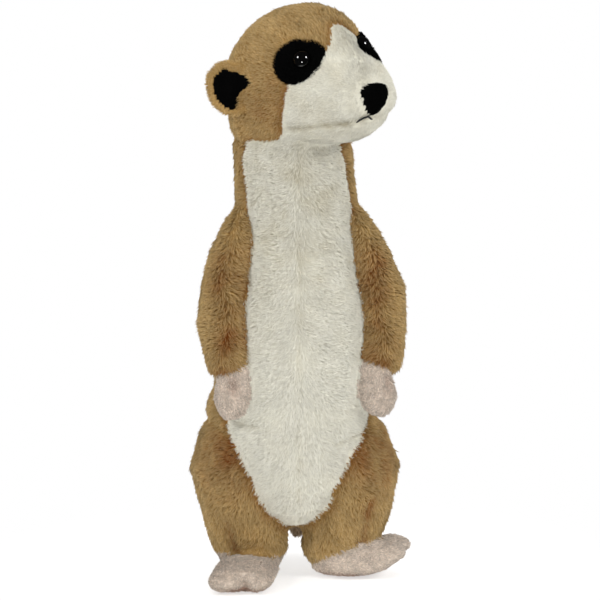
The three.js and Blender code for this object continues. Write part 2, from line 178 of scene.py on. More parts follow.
@dataclass(frozen=True)
class PlushFinish:
    """Acrylic pile plush: crimped fibres knitted into a cloth back and brushed upright.

    It gives the eye a matt, soft body with a pale edge where the fibre tips catch the light, and a deeper
    colour wherever the pile parts and its roots show. The same deeper colour is also painted shade in
    folds, tucks and the upper cream, and the darker roots paint the shade deep in the cream and velour piles.
    """

    name: str
    tip: str
    middle: str
    # For the cream and the velour the darker root colour is painted shade deep in the pile; the tan's rust
    # roots are its own colour.
    root: str
    parted_and_shaded: str  # the colour where the pile parts and its roots show, also used as painted shade in folds, tucks and the upper cream
    blotch: float = 14.0  # size of the slow changes of shade, in millimetres
    contrast: float = 0.13  # how strong they are
    strand: float = 0.22  # how much one lock differs from the next
    crimp: float = 0.7  # size of the fibres' crimp, in millimetres, drawn coarse so that it shows
    sheen: float = 0.25
    roughness: float = 0.9
    specular: float = 0.15

    def material(self) -> bpy.types.Material:
        """Builds the material for the pile and the cloth under it, which share their markings."""
        material, tree = new_material(self.name)
        along = add_node(tree, "ShaderNodeAttribute", {"attribute_name": "along"})
        parting_and_shade = add_node(tree, "ShaderNodeAttribute", {"attribute_name": "parting_and_shade"})
        shade = add_node(tree, "ShaderNodeAttribute", {"attribute_name": "shade"})
        pile = add_node(tree, "ShaderNodeValToRGB", links={"Fac": along.outputs["Fac"]})
        stops = pile.color_ramp.elements
        stops[0].color = linear_rgba(self.root)
        stops[1].color = linear_rgba(self.tip)
        stops.new(0.5).color = linear_rgba(self.middle)
        place = add_node(tree, "ShaderNodeTexCoord")
        blotches = add_node(
            tree,
            "ShaderNodeTexNoise",
            values={"Scale": 1 / (self.blotch * MM), "Detail": 3.0, "Roughness": 0.6},
            links={"Vector": place.outputs["Object"]},
        )
        patchy = add_node(
            tree,
            "ShaderNodeMapRange",
            values={"From Min": 0.3, "From Max": 0.65, "To Min": 0.35, "To Max": 1.0},
            links={"Value": blotches.outputs["Fac"]},
        )
        low = add_node(
            tree,
            "ShaderNodeMath",
            {"operation": "MULTIPLY_ADD"},
            values={1: -1.0, 2: 1.5},
            links={0: along.outputs["Fac"]},
        )
        showing = add_node(
            tree,
            "ShaderNodeMath",
            {"operation": "MULTIPLY"},
            links={0: low.outputs[0], 1: patchy.outputs["Result"]},
        )
        # Where the pile parts, and where shade is painted, the colour moves towards the parted one.
        parted_and_shaded = add_node(
            tree,
            "ShaderNodeMath",
            {"operation": "MULTIPLY", "use_clamp": True},
            links={0: parting_and_shade.outputs["Fac"], 1: showing.outputs[0]},
        )
        marked = add_node(
            tree,
            "ShaderNodeMix",
            {"data_type": "RGBA"},
            values={"B": linear_rgba(self.parted_and_shaded)},
            links={"Factor": parted_and_shaded.outputs[0], "A": pile.outputs["Color"]},
        )
        slow = add_node(
            tree,
            "ShaderNodeMapRange",
            values={
                "From Min": 0.3,
                "From Max": 0.7,
                "To Min": 1 - self.contrast,
                "To Max": 1 + self.contrast,
            },
            links={"Value": blotches.outputs["Fac"]},
        )
        value = add_node(
            tree,
            "ShaderNodeMath",
            {"operation": "MULTIPLY_ADD"},
            values={1: self.strand},
            links={0: shade.outputs["Fac"], 2: slow.outputs["Result"]},
        )
        shaded = add_node(
            tree,
            "ShaderNodeHueSaturation",
            links={"Value": value.outputs[0], "Color": marked.outputs["Result"]},
        )
        grain = add_node(
            tree,
            "ShaderNodeTexNoise",
            values={"Scale": 1 / (self.crimp * MM), "Detail": 2.0},
            links={"Vector": place.outputs["Object"]},
        )
        bump = add_node(
            tree,
            "ShaderNodeBump",
            values={"Strength": 0.25, "Distance": 0.3 * MM},
            links={"Height": grain.outputs["Fac"]},
        )
        cloth = add_node(
            tree,
            "ShaderNodeBsdfPrincipled",
            values={
                "Roughness": self.roughness,
                "Specular IOR Level": self.specular,
                "Sheen Weight": self.sheen,
                "Sheen Roughness": 0.45,
                "Sheen Tint": linear_rgba(self.tip),
            },
            links={"Base Color": shaded.outputs["Color"], "Normal": bump.outputs["Normal"]},
        )
        add_node(tree, "ShaderNodeOutputMaterial", links={"Surface": cloth.outputs["BSDF"]})
        return material


@dataclass(frozen=True)
class PlasticFinish:
    """Injection-moulded ABS, polished: jet black, with small sharp reflections of the lamps."""

    name: str = "black ABS, moulded and polished"
    colour: str = "#020202"
    crest_colour: str = "#050404"  # a slightly lighter colour at the crests of its waves
    wave: float = 5.0  # length of the waves that moulding leaves, in millimetres

    def material(self) -> bpy.types.Material:
        """Builds the material, with the faint waviness that moulding leaves."""
        material, tree = new_material(self.name)
        place = add_node(tree, "ShaderNodeTexCoord")
        waves = add_node(
            tree,
            "ShaderNodeTexNoise",
            values={"Scale": 1 / (self.wave * MM), "Detail": 1.0},
            links={"Vector": place.outputs["Object"]},
        )
        tint = add_node(
            tree,
            "ShaderNodeMix",
            {"data_type": "RGBA"},
            values={"A": linear_rgba(self.colour), "B": linear_rgba(self.crest_colour)},
            links={"Factor": waves.outputs["Fac"]},
        )
        bump = add_node(
            tree,
            "ShaderNodeBump",
            values={"Strength": 0.04, "Distance": 0.1 * MM},
            links={"Height": waves.outputs["Fac"]},
        )
        plastic = add_node(
            tree,
            "ShaderNodeBsdfPrincipled",
            values={"Roughness": 0.06, "IOR": 1.5, "Specular IOR Level": 1.0},
            links={"Base Color": tint.outputs["Result"], "Normal": bump.outputs["Normal"]},
        )
        add_node(tree, "ShaderNodeOutputMaterial", links={"Surface": plastic.outputs["BSDF"]})
        return material


@dataclass(frozen=True)
class ThreadFinish:
    """Twisted polyester sewing thread: slightly shiny, with the slant of its plies."""

    name: str
    colour: str
    ply: float = 0.5  # about half the way from ply to ply, in millimetres, coarse so that it shows

    def material(self) -> bpy.types.Material:
        """Builds the material, with a fine banding of painted shade between the plies."""
        material, tree = new_material(self.name)
        place = add_node(tree, "ShaderNodeTexCoord")
        plies = add_node(
            tree,
            "ShaderNodeTexWave",
            {"bands_direction": "DIAGONAL"},
            values={"Scale": 1 / (self.ply * MM) / 6, "Distortion": 1.0},
            links={"Vector": place.outputs["Object"]},
        )
        # The darker copy of the thread's colour is painted shade in the grooves between the plies.
        dark = tuple(0.55 * c for c in linear_rgba(self.colour)[:3])
        tint = add_node(
            tree,
            "ShaderNodeMix",
            {"data_type": "RGBA"},
            values={"A": (*dark, 1.0), "B": linear_rgba(self.colour)},
            links={"Factor": plies.outputs["Fac"]},
        )
        bump = add_node(
            tree,
            "ShaderNodeBump",
            values={"Strength": 0.5, "Distance": 0.1 * MM},
            links={"Height": plies.outputs["Fac"]},
        )
        thread = add_node(
            tree,
            "ShaderNodeBsdfPrincipled",
            values={"Roughness": 0.55, "Sheen Weight": 0.2},
            links={"Base Color": tint.outputs["Result"], "Normal": bump.outputs["Normal"]},
        )
        add_node(tree, "ShaderNodeOutputMaterial", links={"Surface": thread.outputs["BSDF"]})
        return material


# Sandy all over, and rust brown where it parts.
TAN_PLUSH = PlushFinish(
    "tan acrylic plush, brushed",
    tip="#c1a676",
    middle="#a68652",
    root="#6b451f",
    parted_and_shaded="#7a4419",
    sheen=0.15,
)
# Nearly white, with pale grey-brown roots that paint the shade in the pile's hollows.
CREAM_PLUSH = PlushFinish(
    "cream acrylic plush, brushed",
    tip="#eeecdf",
    middle="#e6e3d3",
    root="#c6c2ae",
    parted_and_shaded="#b5ab8e",
    contrast=0.06,
    strand=0.1,
)
# So dark that only its outline shows, with no pale edge.
BLACK_PLUSH = PlushFinish(
    "black short acrylic plush",
    tip="#060606",
    middle="#040404",
    root="#020202",
    parted_and_shaded="#020202",
    sheen=0.0,
    specular=0.05,
)
# Dull brown, for the tip of the tail.
DARK_PLUSH = PlushFinish(
    "dark brown acrylic plush, brushed",
    tip="#9a8873",
    middle="#77634c",
    root="#463629",
    parted_and_shaded="#524032",
)
# Short and mottled: pale pink at its tips, with brown roots that paint the shade between the tufts.
VELOUR = PlushFinish(
    "pink-beige polyester velour",
    tip="#ecdfd1",
    middle="#d2c2b2",
    root="#937b66",
    parted_and_shaded="#8f5f46",
    blotch=4.0,
    contrast=0.16,
    strand=0.3,
)
EYE_PLASTIC = PlasticFinish()
MOUTH_THREAD = ThreadFinish("black polyester embroidery thread", "#0a0a0a")


# ---- pile and panels -------------------------------------------------------------------------------


@dataclass(frozen=True)
class Pile:
    """How the pile of a cloth stands. Lengths are in millimetres and angles in degrees."""

    length: float
    width: float  # of a tuft at its widest, coarser than a real lock so that it shows
    per_mm2: float  # how many tufts
    rise: float  # a tuft's lean from upright at its root
    fall: float  # and towards its tip
    lock: float = 0.5  # how far the tips of a lock draw together
    lock_tufts: int = 12  # tufts in a lock
    ruffle: float = 0.3  # how far a tuft strays from the lie, in radians
    relief: float = 0.3  # how far its shading follows its own shape
    lean: float = 0.0  # how far its shading leans the way that it lies

    @property
    def depth(self) -> float:
        """How far the tips stand off the cloth."""
        lean = (math.radians(self.rise), math.radians(self.fall))
        return self.length * sum(math.cos(angle) for angle in lean) / 2


BODY_PILE = Pile(length=4.6, width=0.36, per_mm2=3.3, rise=53, fall=78, lock=0.24, lock_tufts=9, relief=0.26)
HEAD_PILE = Pile(length=3.6, width=0.36, per_mm2=3.8, rise=54, fall=77, lock=0.26, lock_tufts=10, relief=0.26)
EAR_PILE = Pile(length=2.2, width=0.36, per_mm2=4.4, rise=60, fall=80, lock=0.15, lock_tufts=8, relief=0.2)
BELLY_PILE = Pile(length=3.8, width=0.34, per_mm2=3.6, rise=56, fall=78, lock=0.2, lock_tufts=9, relief=0.14)
FACE_PILE = Pile(length=2.4, width=0.34, per_mm2=4.2, rise=56, fall=78, lock=0.18, lock_tufts=8, relief=0.14)
PATCH_PILE = Pile(length=2.8, width=0.32, per_mm2=4.6, rise=48, fall=76, lock=0.12, lock_tufts=6)
NOSE_PILE = Pile(length=1.9, width=0.32, per_mm2=5.2, rise=54, fall=78, lock=0.1, lock_tufts=6)
VELOUR_PILE = Pile(
    length=2.0,
    width=0.36,
    per_mm2=4.0,
    rise=40,
    fall=66,
    lock=0.5,
    lock_tufts=9,
    ruffle=0.5,
    relief=0.35,
    lean=0.7,
)


@dataclass(frozen=True)
class Panel:
    """One sewn panel: the CAD node it stands for, its cloth and its pile."""

    node: str
    cloth: Cloth
    pile: Pile
    hold: float = 1.0  # how freely fairing may round its shape off
    swell: float = 0.0  # how much thicker than its node it is made, where fairing would thin it


@dataclass
class SkinPoints:
    """Points of the skin that a sub-assembly gives the lie of the pile for, in millimetres."""

    at: np.ndarray
    normals: np.ndarray
    panels: np.ndarray  # of node names


@dataclass(frozen=True)
class Oval:
    """An upright oval on a panel: its middle and its reach from there, each across and up."""

    middle: tuple[float, float]
    reach: tuple[float, float]

    def holds(self, across: np.ndarray, up: np.ndarray) -> np.ndarray:
        """Whether each point is inside the oval."""
        wide = (across - self.middle[0]) / self.reach[0]
        high = (up - self.middle[1]) / self.reach[1]
        return wide**2 + high**2 < 1


# ---- sub-assemblies --------------------------------------------------------------------------------


class SubAssembly:
    """A part of the toy: the panels that it is sewn from, and how their cloth and pile lie."""

    @property
    def panels(self) -> list[Panel]:
        """The part's panels."""
        raise NotImplementedError

    def marks(self, points: SkinPoints) -> np.ndarray:
        """The panel that each point is on, where it isn't simply that of the nearest node."""
        return points.panels

    def lie(self, points: SkinPoints) -> np.ndarray:
        """The way the pile lies."""
        raise NotImplementedError

    def parting_and_shade(self, points: SkinPoints) -> np.ndarray:
        """Where the pile parts and its roots show, and where shade is painted into it."""
        return np.zeros(len(points.at))

    def folds(self, points: SkinPoints) -> np.ndarray:
        """How deep the cloth is drawn in, in millimetres."""
        return np.zeros(len(points.at))


@dataclass
class Head(SubAssembly):
    """The head: tan crown and cheeks, cream face, black patches and nose, and cupped ears."""

    yaw: float = 46.5  # degrees that it looks to the toy's left
    roll: float = 9.0  # degrees that it leans to its right
    eye: tuple[float, float, float] = (-23.9, 28.3, 11.2)  # the right one
    muzzle: tuple[float, float, float] = (0.0, 54.0, -12.0)
    mouth_fold: tuple[float, float] = (-24.5, 0.06)  # its height, and how it rises going forward
    lining_reach: float = -5.5  # how far forward the ears' linings come
    lining_point: float = 9.0  # and how much further at their points
    lining_band: tuple[float, float] = (1.5, 4.5)  # the height of those points, and their reach from it
    patch_front: float = 39.4  # how far forward the right patch reaches
    patch_step: float = 29.0  # how far forward its slanting lower edge begins
    patch_cut: float = 30.5  # how far forward that edge is at the height of the head's centre
    patch_oval: Oval = Oval(middle=(24.5, 10.6), reach=(8.7, 11))  # its rounded back, forward and up
    patch_foot: tuple[float, float] = (38.0, 39.7)  # the left patch's lowest stretch, forward
    jaw: tuple[float, float] = (-19.0, 37.0)  # the top of the cream jaw's back corner, and its slanting end
    nose_oval: Oval = Oval(middle=(1, -11.5), reach=(8.2, 9.5))  # the far half of the nose, side and up
    side: np.ndarray = field(init=False)
    forward: np.ndarray = field(init=False)
    up: np.ndarray = field(init=False)
    centre: np.ndarray = field(init=False)

    def __post_init__(self) -> None:
        """Finds the head's own axes, and its centre from the place of the right eye."""
        yaw, roll = math.radians(self.yaw), math.radians(self.roll)
        level = np.array([math.cos(yaw), math.sin(yaw), 0.0])
        self.forward = np.array([math.sin(yaw), -math.cos(yaw), 0.0])
        self.side = level * math.cos(roll) - DOWN * math.sin(roll)
        self.up = -DOWN * math.cos(roll) - level * math.sin(roll)
        self.centre = np.zeros(3)
        self.centre = box_centre("eye_right") - self.place(*self.eye)

    @property
    def panels(self) -> list[Panel]:
        """The head's panels."""
        found = [
            Panel("head", Cloth.TAN, HEAD_PILE, 0.8),
            Panel("face", Cloth.CREAM, FACE_PILE, 0.7),
            Panel("nose", Cloth.BLACK, NOSE_PILE, 0.3),
        ]
        for word in ("left", "right"):
            found += [
                Panel(f"eye_patch_{word}", Cloth.BLACK, PATCH_PILE, 0.7),
                Panel(f"ear_{word}", Cloth.TAN, EAR_PILE, 0.3, swell=1.5),
                Panel(f"ear_lining_{word}", Cloth.BLACK, NOSE_PILE, 0.3),
            ]
        return found

    def place(self, side: float, forward: float, up: float) -> np.ndarray:
        """A point given in the head's own axes, in millimetres from its centre."""
        return self.centre + side * self.side + forward * self.forward + up * self.up

    def local(self, at: np.ndarray) -> tuple[np.ndarray, np.ndarray, np.ndarray]:
        """How far points are to the side of the head's centre, forward of it and above it."""
        away = at - self.centre
        return away @ self.side, away @ self.forward, away @ self.up

    def marks(self, points: SkinPoints) -> np.ndarray:
        """The panels' borders on the head: of the eye patches, the jaw, the nose and the ears' linings."""
        side, forward, up = self.local(points.at)
        names = points.panels.copy()
        slant = (forward > self.patch_step) & (up < forward - self.patch_cut)
        names[(names == "eye_patch_right") & ((forward > self.patch_front) | slant)] = "face"
        names[(names == "eye_patch_left") & (up < self.left_patch_edge(forward))] = "face"
        names[(names == "head") & (side < -15) & self.patch_oval.holds(forward, up)] = "eye_patch_right"
        top, end = self.jaw
        names[(names == "head") & (side < 0) & (up < top) & (forward - 0.9 * up > end)] = "face"
        names[(names == "nose") & (side > 0) & ~self.nose_oval.holds(side, up)] = "face"
        edge = np.where(up < 8, self.lining_reach + self.lining_point * bell(up - 2, 3.3), -30)
        height, reach = self.lining_band
        for sign, word in ((LEFT, "left"), (RIGHT, "right")):
            cheek = (names == "head") & (side * sign > 25) & (forward > -12) & (np.abs(up - height) < reach)
            lining = names == f"ear_lining_{word}"
            names[cheek & (forward < edge)] = f"ear_lining_{word}"
            names[lining & (forward > edge)] = "head"
        return names

    def left_patch_edge(self, forward: np.ndarray) -> np.ndarray:
        """The height of the left patch's lower edge, which curves up at the back and slants up in front."""
        back, front = self.patch_foot
        return 1 + 0.018 * np.maximum(back - forward, 0) ** 2 + 1.25 * np.maximum(forward - front, 0)

    def lie(self, points: SkinPoints) -> np.ndarray:
        """The way the pile lies: back from the muzzle, up off the eyes and over the ears' rims."""
        lie = unit(points.at - self.place(*self.muzzle))
        crown = ramp(self.local(points.at)[2], -5, 15)[:, None]
        lie = lie + 0.35 * (2 * crown - 1) * self.up
        nose = points.panels == "nose"
        lie[nose] = 0.8 * unit(points.at[nose] - box_centre("nose")) - self.up
        for sign, word in ((LEFT, "left"), (RIGHT, "right")):
            patch = points.panels == f"eye_patch_{word}"
            lie[patch] = unit(points.at[patch] - box_centre(f"eye_{word}")) + 0.5 * self.up
            ear = np.char.startswith(points.panels, "ear_") & np.char.endswith(points.panels, word)
            facing = unit(box_centre(f"ear_lining_{word}") - box_centre(f"ear_{word}"))
            front = np.clip(points.normals[ear] @ facing, 0, 1)[:, None]
            outward = unit(points.at[ear] - box_centre(f"ear_lining_{word}"))
            lie[ear] = outward * front - facing * (1 - front)
        return lie

    def parting_and_shade(self, points: SkinPoints) -> np.ndarray:
        """Where the roots show on the cheeks; roots and painted shade along the fold of the mouth; a warmer
        tint and painted shade on all the face.
        """
        # The mouth term is partly painted shade in the crease, and the face term paints the face's cream
        # warmer and darker than the belly's.
        found = 0.5 * self.across_mouth(points, 1.2) + 0.28 * (points.panels == "face")
        for sign in (LEFT, RIGHT):
            away = points.at - self.place(sign * 35, 10, -8)
            found += 0.45 * bell(np.linalg.norm(away, axis=1), 15) * (points.panels == "head")
        return found

    def fold_height(self, forward: np.ndarray) -> np.ndarray:
        """The height of the fold that runs back from the mouth."""
        height, rise = self.mouth_fold
        return height + rise * forward

    def across_mouth(self, points: SkinPoints, width: float) -> np.ndarray:
        """One along the fold that runs back from the mouth, falling off over the width."""
        _, forward, up = self.local(points.at)
        fold = bell(up - self.fold_height(forward), width)
        return fold * ramp(forward, 10, 22) * ramp(56 - forward, 0, 6) * (points.panels == "face")

    def folds(self, points: SkinPoints) -> np.ndarray:
        """How deep the cloth is drawn in: along the mouth, and under it, where the jaw is set back."""
        _, forward, up = self.local(points.at)
        below = self.fold_height(forward) - up
        jaw = ramp(below, -0.5, 1.5) * ramp(14 - below, 0, 10) * (points.panels == "face")
        return self.across_mouth(points, 2.0) + jaw * ramp(forward, 12, 20) * ramp(58 - forward, 0, 6)

    def mouth(self) -> list[np.ndarray]:
        """The line of the embroidered mouth, from the corner past the foot of the nose."""
        line = ((-13, 51.5, -21.5), (-10, 52.5, -20.5), (-7, 53.5, -20), (-4, 53, -22))
        return [self.place(*point) for point in line]


@dataclass
class Torso(SubAssembly):
    """The neck and trunk, with the cream panel down the front."""

    seam_x: float = -1.6  # the belly panel's middle seam
    fold_heights: tuple[float, float] = (87, 79)  # of the belly's folds, on its right and left
    tip: tuple[float, float] = (-4.0, 25.5)  # x and height of the cream panel's foot
    flare: tuple[float, float] = (0.4, 0.03)  # how its edges rise from there: straight, and curving

    @property
    def panels(self) -> list[Panel]:
        """The torso's panels."""
        return [
            Panel("neck", Cloth.TAN, BODY_PILE),
            Panel("trunk", Cloth.TAN, BODY_PILE),
            Panel("belly", Cloth.CREAM, BELLY_PILE),
        ]

    def marks(self, points: SkinPoints) -> np.ndarray:
        """The cream panel reaches down between the legs."""
        x, _, height = points.at.T
        names = points.panels.copy()
        front = (points.normals[:, 1] < -0.1) & (np.abs(x + 5) < 20)
        away = np.abs(x - self.tip[0])
        hem = self.tip[1] + self.flare[0] * away + self.flare[1] * away**2
        names[(names == "trunk") & front & (height < 60) & (height > hem)] = "belly"
        return names

    def lie(self, points: SkinPoints) -> np.ndarray:
        """The way the pile lies: out from the middle seam, round to the back and down."""
        outward = np.tanh((points.at[:, :1] - self.seam_x) / 14)
        belly = (points.panels == "belly")[:, None]
        low = ramp(110 - points.at[:, 2:], 0, 60)
        cream = ACROSS * outward + BACK * 0.3 + DOWN * (0.45 + 0.4 * low)
        tan = ACROSS * outward * 0.5 + BACK * 0.7 * (points.normals[:, 1:2] < 0.6) + DOWN * 0.8
        return np.where(belly, cream, tan)

    def parting_and_shade(self, points: SkinPoints) -> np.ndarray:
        """The belly's roots show in its middle seam; painted shade darkens its folds along with their roots,
        and darkens the cream upwards towards the neck, under the head.
        """
        belly = points.panels == "belly"
        # painted shade: the cream grows darker upwards towards the neck, where the head shades it
        neck = 0.05 + 0.3 * ramp(points.at[:, 2], 110, 200)
        seam = 0.2 * bell(points.at[:, 0] - self.seam_x, 0.8)
        # the folds term is partly roots showing in the folds and partly painted shade in them
        return belly * (neck + seam + 0.3 * self.folds(points))

    def folds(self, points: SkinPoints) -> np.ndarray:
        """The belly folds a little over each thigh, and its seam and the right flank are drawn in."""
        right, left = self.fold_heights
        x, height = points.at[:, 0], points.at[:, 2]
        folds = bell(height - right + 0.03 * (x + 36), 1.5) * ramp(-14 - x, 0, 12)
        folds += bell(height - left - 0.15 * (x - 25), 1.3) * ramp(x, 12, 20)
        flank = 3.0 * bell(height - 104, 8) * ramp(-38 - x, 0, 6) * (points.panels == "trunk")
        return 1.2 * folds * (points.panels == "belly") + 0.25 * bell(x - self.seam_x, 1.2) + flank


@dataclass
class Arm(SubAssembly):
    """An arm with its mitten hand. A parting runs down the middle of the arm."""

    side: int
    dimple: tuple[float, float]  # of the tuck in the hand, across and up from the hand's middle
    parting_shift: float = 1.0  # from the arm's middle line, outwards
    wander: float = 1.8  # how far the parting strays from its line
    curve: tuple[np.ndarray, np.ndarray] = field(init=False)

    def __post_init__(self) -> None:
        """Fits the arm's middle line, x and y by height, to its CAD node."""
        self.curve = middle_line(self.name("arm"))

    def name(self, part: str) -> str:
        """The name of this side's arm or hand."""
        return f"{part}_{'left' if self.side == LEFT else 'right'}"

    @property
    def panels(self) -> list[Panel]:
        """The arm's panels."""
        return [
            Panel(self.name("arm"), Cloth.TAN, BODY_PILE),
            Panel(self.name("hand"), Cloth.VELOUR, VELOUR_PILE, 0.4),
        ]

    def across_parting(self, points: SkinPoints) -> np.ndarray:
        """How far to the toy's left of the parting each point is."""
        height = points.at[:, 2]
        middle = np.polyval(self.curve[0], height) + self.side * self.parting_shift
        return points.at[:, 0] - middle - self.wander * np.sin(height / 6.5 + self.side)

    def lie(self, points: SkinPoints) -> np.ndarray:
        """The way the pile lies: away from the parting on both sides, and down."""
        outward = np.tanh(self.across_parting(points) / 5)[:, None]
        front = ramp(-points.normals[:, 1:2], -0.3, 0.5)
        lie = ACROSS * outward * front + BACK * 0.5 + DOWN * 0.7
        hand = points.panels == self.name("hand")
        middle = box_centre(self.name("hand"))[0] + self.dimple[0]
        lie[hand] = DOWN + 0.45 * np.tanh(points.at[hand, :1] - middle) * ACROSS
        return lie

    def parting_and_shade(self, points: SkinPoints) -> np.ndarray:
        """The roots show down the front of the arm, fading at the shoulder, and painted shade darkens the
        hand's tuck.
        """
        front = ramp(-points.normals[:, 1], -0.1, 0.5)
        height = ramp(188 - points.at[:, 2], 0, 30) * (points.panels == self.name("arm"))
        across = self.across_parting(points)
        inner = ramp(-self.side * across, -3, 6)
        rows = 0.5 * bell(across, 4.5) + 0.5 * bell(across, 2) + 0.35 * inner
        # the folds term is painted shade in the dimple of the hand's tuck
        return rows * front * height + 0.14 * self.folds(points)

    def folds(self, points: SkinPoints) -> np.ndarray:
        """A tuck dimples the hand."""
        across, up = self.dimple
        off = points.at - box_centre(self.name("hand"))
        away = np.hypot(off[:, 0] - across, (off[:, 2] - up) / 1.6)
        return 2.6 * bell(away, 3.0) * (points.panels == self.name("hand"))


@dataclass(frozen=True)
class Hem:
    """The top edge of a foot: a line between two ends, bowed up. Each end is an x and a height."""

    start: tuple[float, float]
    end: tuple[float, float]
    bow: float

    def height(self, x: np.ndarray) -> np.ndarray:
        """The hem's height at each x, level beyond its ends."""
        share = np.clip((x - self.start[0]) / (self.end[0] - self.start[0]), 0, 1)
        return self.start[1] + (self.end[1] - self.start[1]) * share + 4 * self.bow * share * (1 - share)


@dataclass
class Leg(SubAssembly):
    """A leg with its velour foot. A dart is sewn up the front of the leg from the ankle."""

    side: int
    dart_x: float  # at its foot, across from the leg's middle
    dart_lean: float  # how far to the toy's left it goes for each millimetre up
    dart_bottom: float
    dart_top: float
    toes: np.ndarray  # the way the foot points
    notch: np.ndarray  # the middle of the tuck between its toes
    hem: Hem
    velour_top: float = 24.0  # the hem is sought no higher than this
    velour_outer: float = 38.0  # nor further out, where the solids' own border holds

    def name(self, part: str) -> str:
        """The name of this side's leg or foot."""
        return f"{part}_{'left' if self.side == LEFT else 'right'}"

    @property
    def panels(self) -> list[Panel]:
        """The leg's panels."""
        return [
            Panel(self.name("leg"), Cloth.TAN, BODY_PILE),
            Panel(self.name("foot"), Cloth.VELOUR, VELOUR_PILE, 0.4),
        ]

    def marks(self, points: SkinPoints) -> np.ndarray:
        """The foot's velour ends at its hem, in front of the leg and inside it."""
        x, _, height = points.at.T
        names = points.panels.copy()
        low = height < self.hem.height(x)
        front = (points.normals[:, 1] < 0.2) & (height < self.velour_top)
        names[front & low] = self.name("foot")
        names[front & ~low & (x * self.side < self.velour_outer)] = self.name("leg")
        return names

    def lie(self, points: SkinPoints) -> np.ndarray:
        """The way the pile lies: out from the belly panel on the thigh and down the shin."""
        thigh = ramp(points.at[:, 2:], 25, 60)
        lie = ACROSS * self.side * (0.15 + 0.55 * thigh) + BACK * 0.35 + DOWN * (1.0 - 0.35 * thigh)
        foot = points.panels == self.name("foot")
        lie[foot] = self.toes
        return lie

    def across_dart(self, points: SkinPoints, width: float) -> np.ndarray:
        """One along the dart, falling off over the width."""
        front = ramp(-points.normals[:, 1], -0.1, 0.4) * (points.panels == self.name("leg"))
        height = points.at[:, 2]
        foot = box_centre(self.name("leg"))[0] + self.dart_x
        dart = bell(points.at[:, 0] - foot - self.dart_lean * (height - self.dart_bottom), width)
        starts = ramp(height, self.dart_bottom - 6, self.dart_bottom)
        ends = ramp(self.dart_top - height, -8, 4)
        return front * dart * starts * ends

    def parting_and_shade(self, points: SkinPoints) -> np.ndarray:
        """The roots show along the dart and in a patch at the top of the thigh, and the foot is darker in a
        band just above the floor round the sole.
        """
        front = ramp(-points.normals[:, 1], -0.1, 0.4) * (points.panels == self.name("leg"))
        thigh = bell(points.at[:, 2] - 70, 18) * bell(points.at[:, 0] - self.side * 38, 12)
        # darker in a band about 2 mm above the floor, round the foot
        sole = bell(points.at[:, 2] - 1.8, 1.3) * (points.panels == self.name("foot"))
        return 1.2 * self.across_dart(points, 2.0) + 0.8 * front * thigh + 1.2 * sole

    def folds(self, points: SkinPoints) -> np.ndarray:
        """The dart draws the leg in, and a tuck parts the toes."""
        toes = unit(self.toes)
        away = points.at - self.notch
        ahead = away @ toes
        across = np.hypot(*(away - ahead[:, None] * toes)[:, :2].T)
        tuck = bell(across, 2.6) * ramp(ahead, -9, -2) * ramp(12 - points.at[:, 2], 0, 6)
        return 2.2 * self.across_dart(points, 2.4) + 4.5 * tuck * (points.panels == self.name("foot"))


@dataclass
class Tail(SubAssembly):
    """The tail, which hangs behind the legs, and its dark tip."""

    @property
    def panels(self) -> list[Panel]:
        """The tail's panels."""
        return [Panel("tail", Cloth.TAN, BODY_PILE), Panel("tail_tip", Cloth.DARK, BODY_PILE)]

    def lie(self, points: SkinPoints) -> np.ndarray:
        """The way the pile lies: down the tail."""
        return np.tile(DOWN + 0.1 * BACK, (len(points.at), 1))


def node_points(node: str) -> np.ndarray:
    """The vertices of a CAD node, in millimetres."""
    mesh = bpy.data.objects[node].data
    places = np.empty(len(mesh.vertices) * 3, np.float32)
    mesh.vertices.foreach_get("co", places)
    return places.reshape(-1, 3) / MM


def middle_line(node: str) -> tuple[np.ndarray, np.ndarray]:
    """Fits a smooth middle line to an upright CAD node.

    Args:
        node: the node's name.

    Returns:
        The polynomials of x and of y by height, in millimetres.
    """
    places = node_points(node)
    return np.polyfit(places[:, 2], places[:, 0], 3), np.polyfit(places[:, 2], places[:, 1], 3)


# ---- the skin --------------------------------------------------------------------------------------


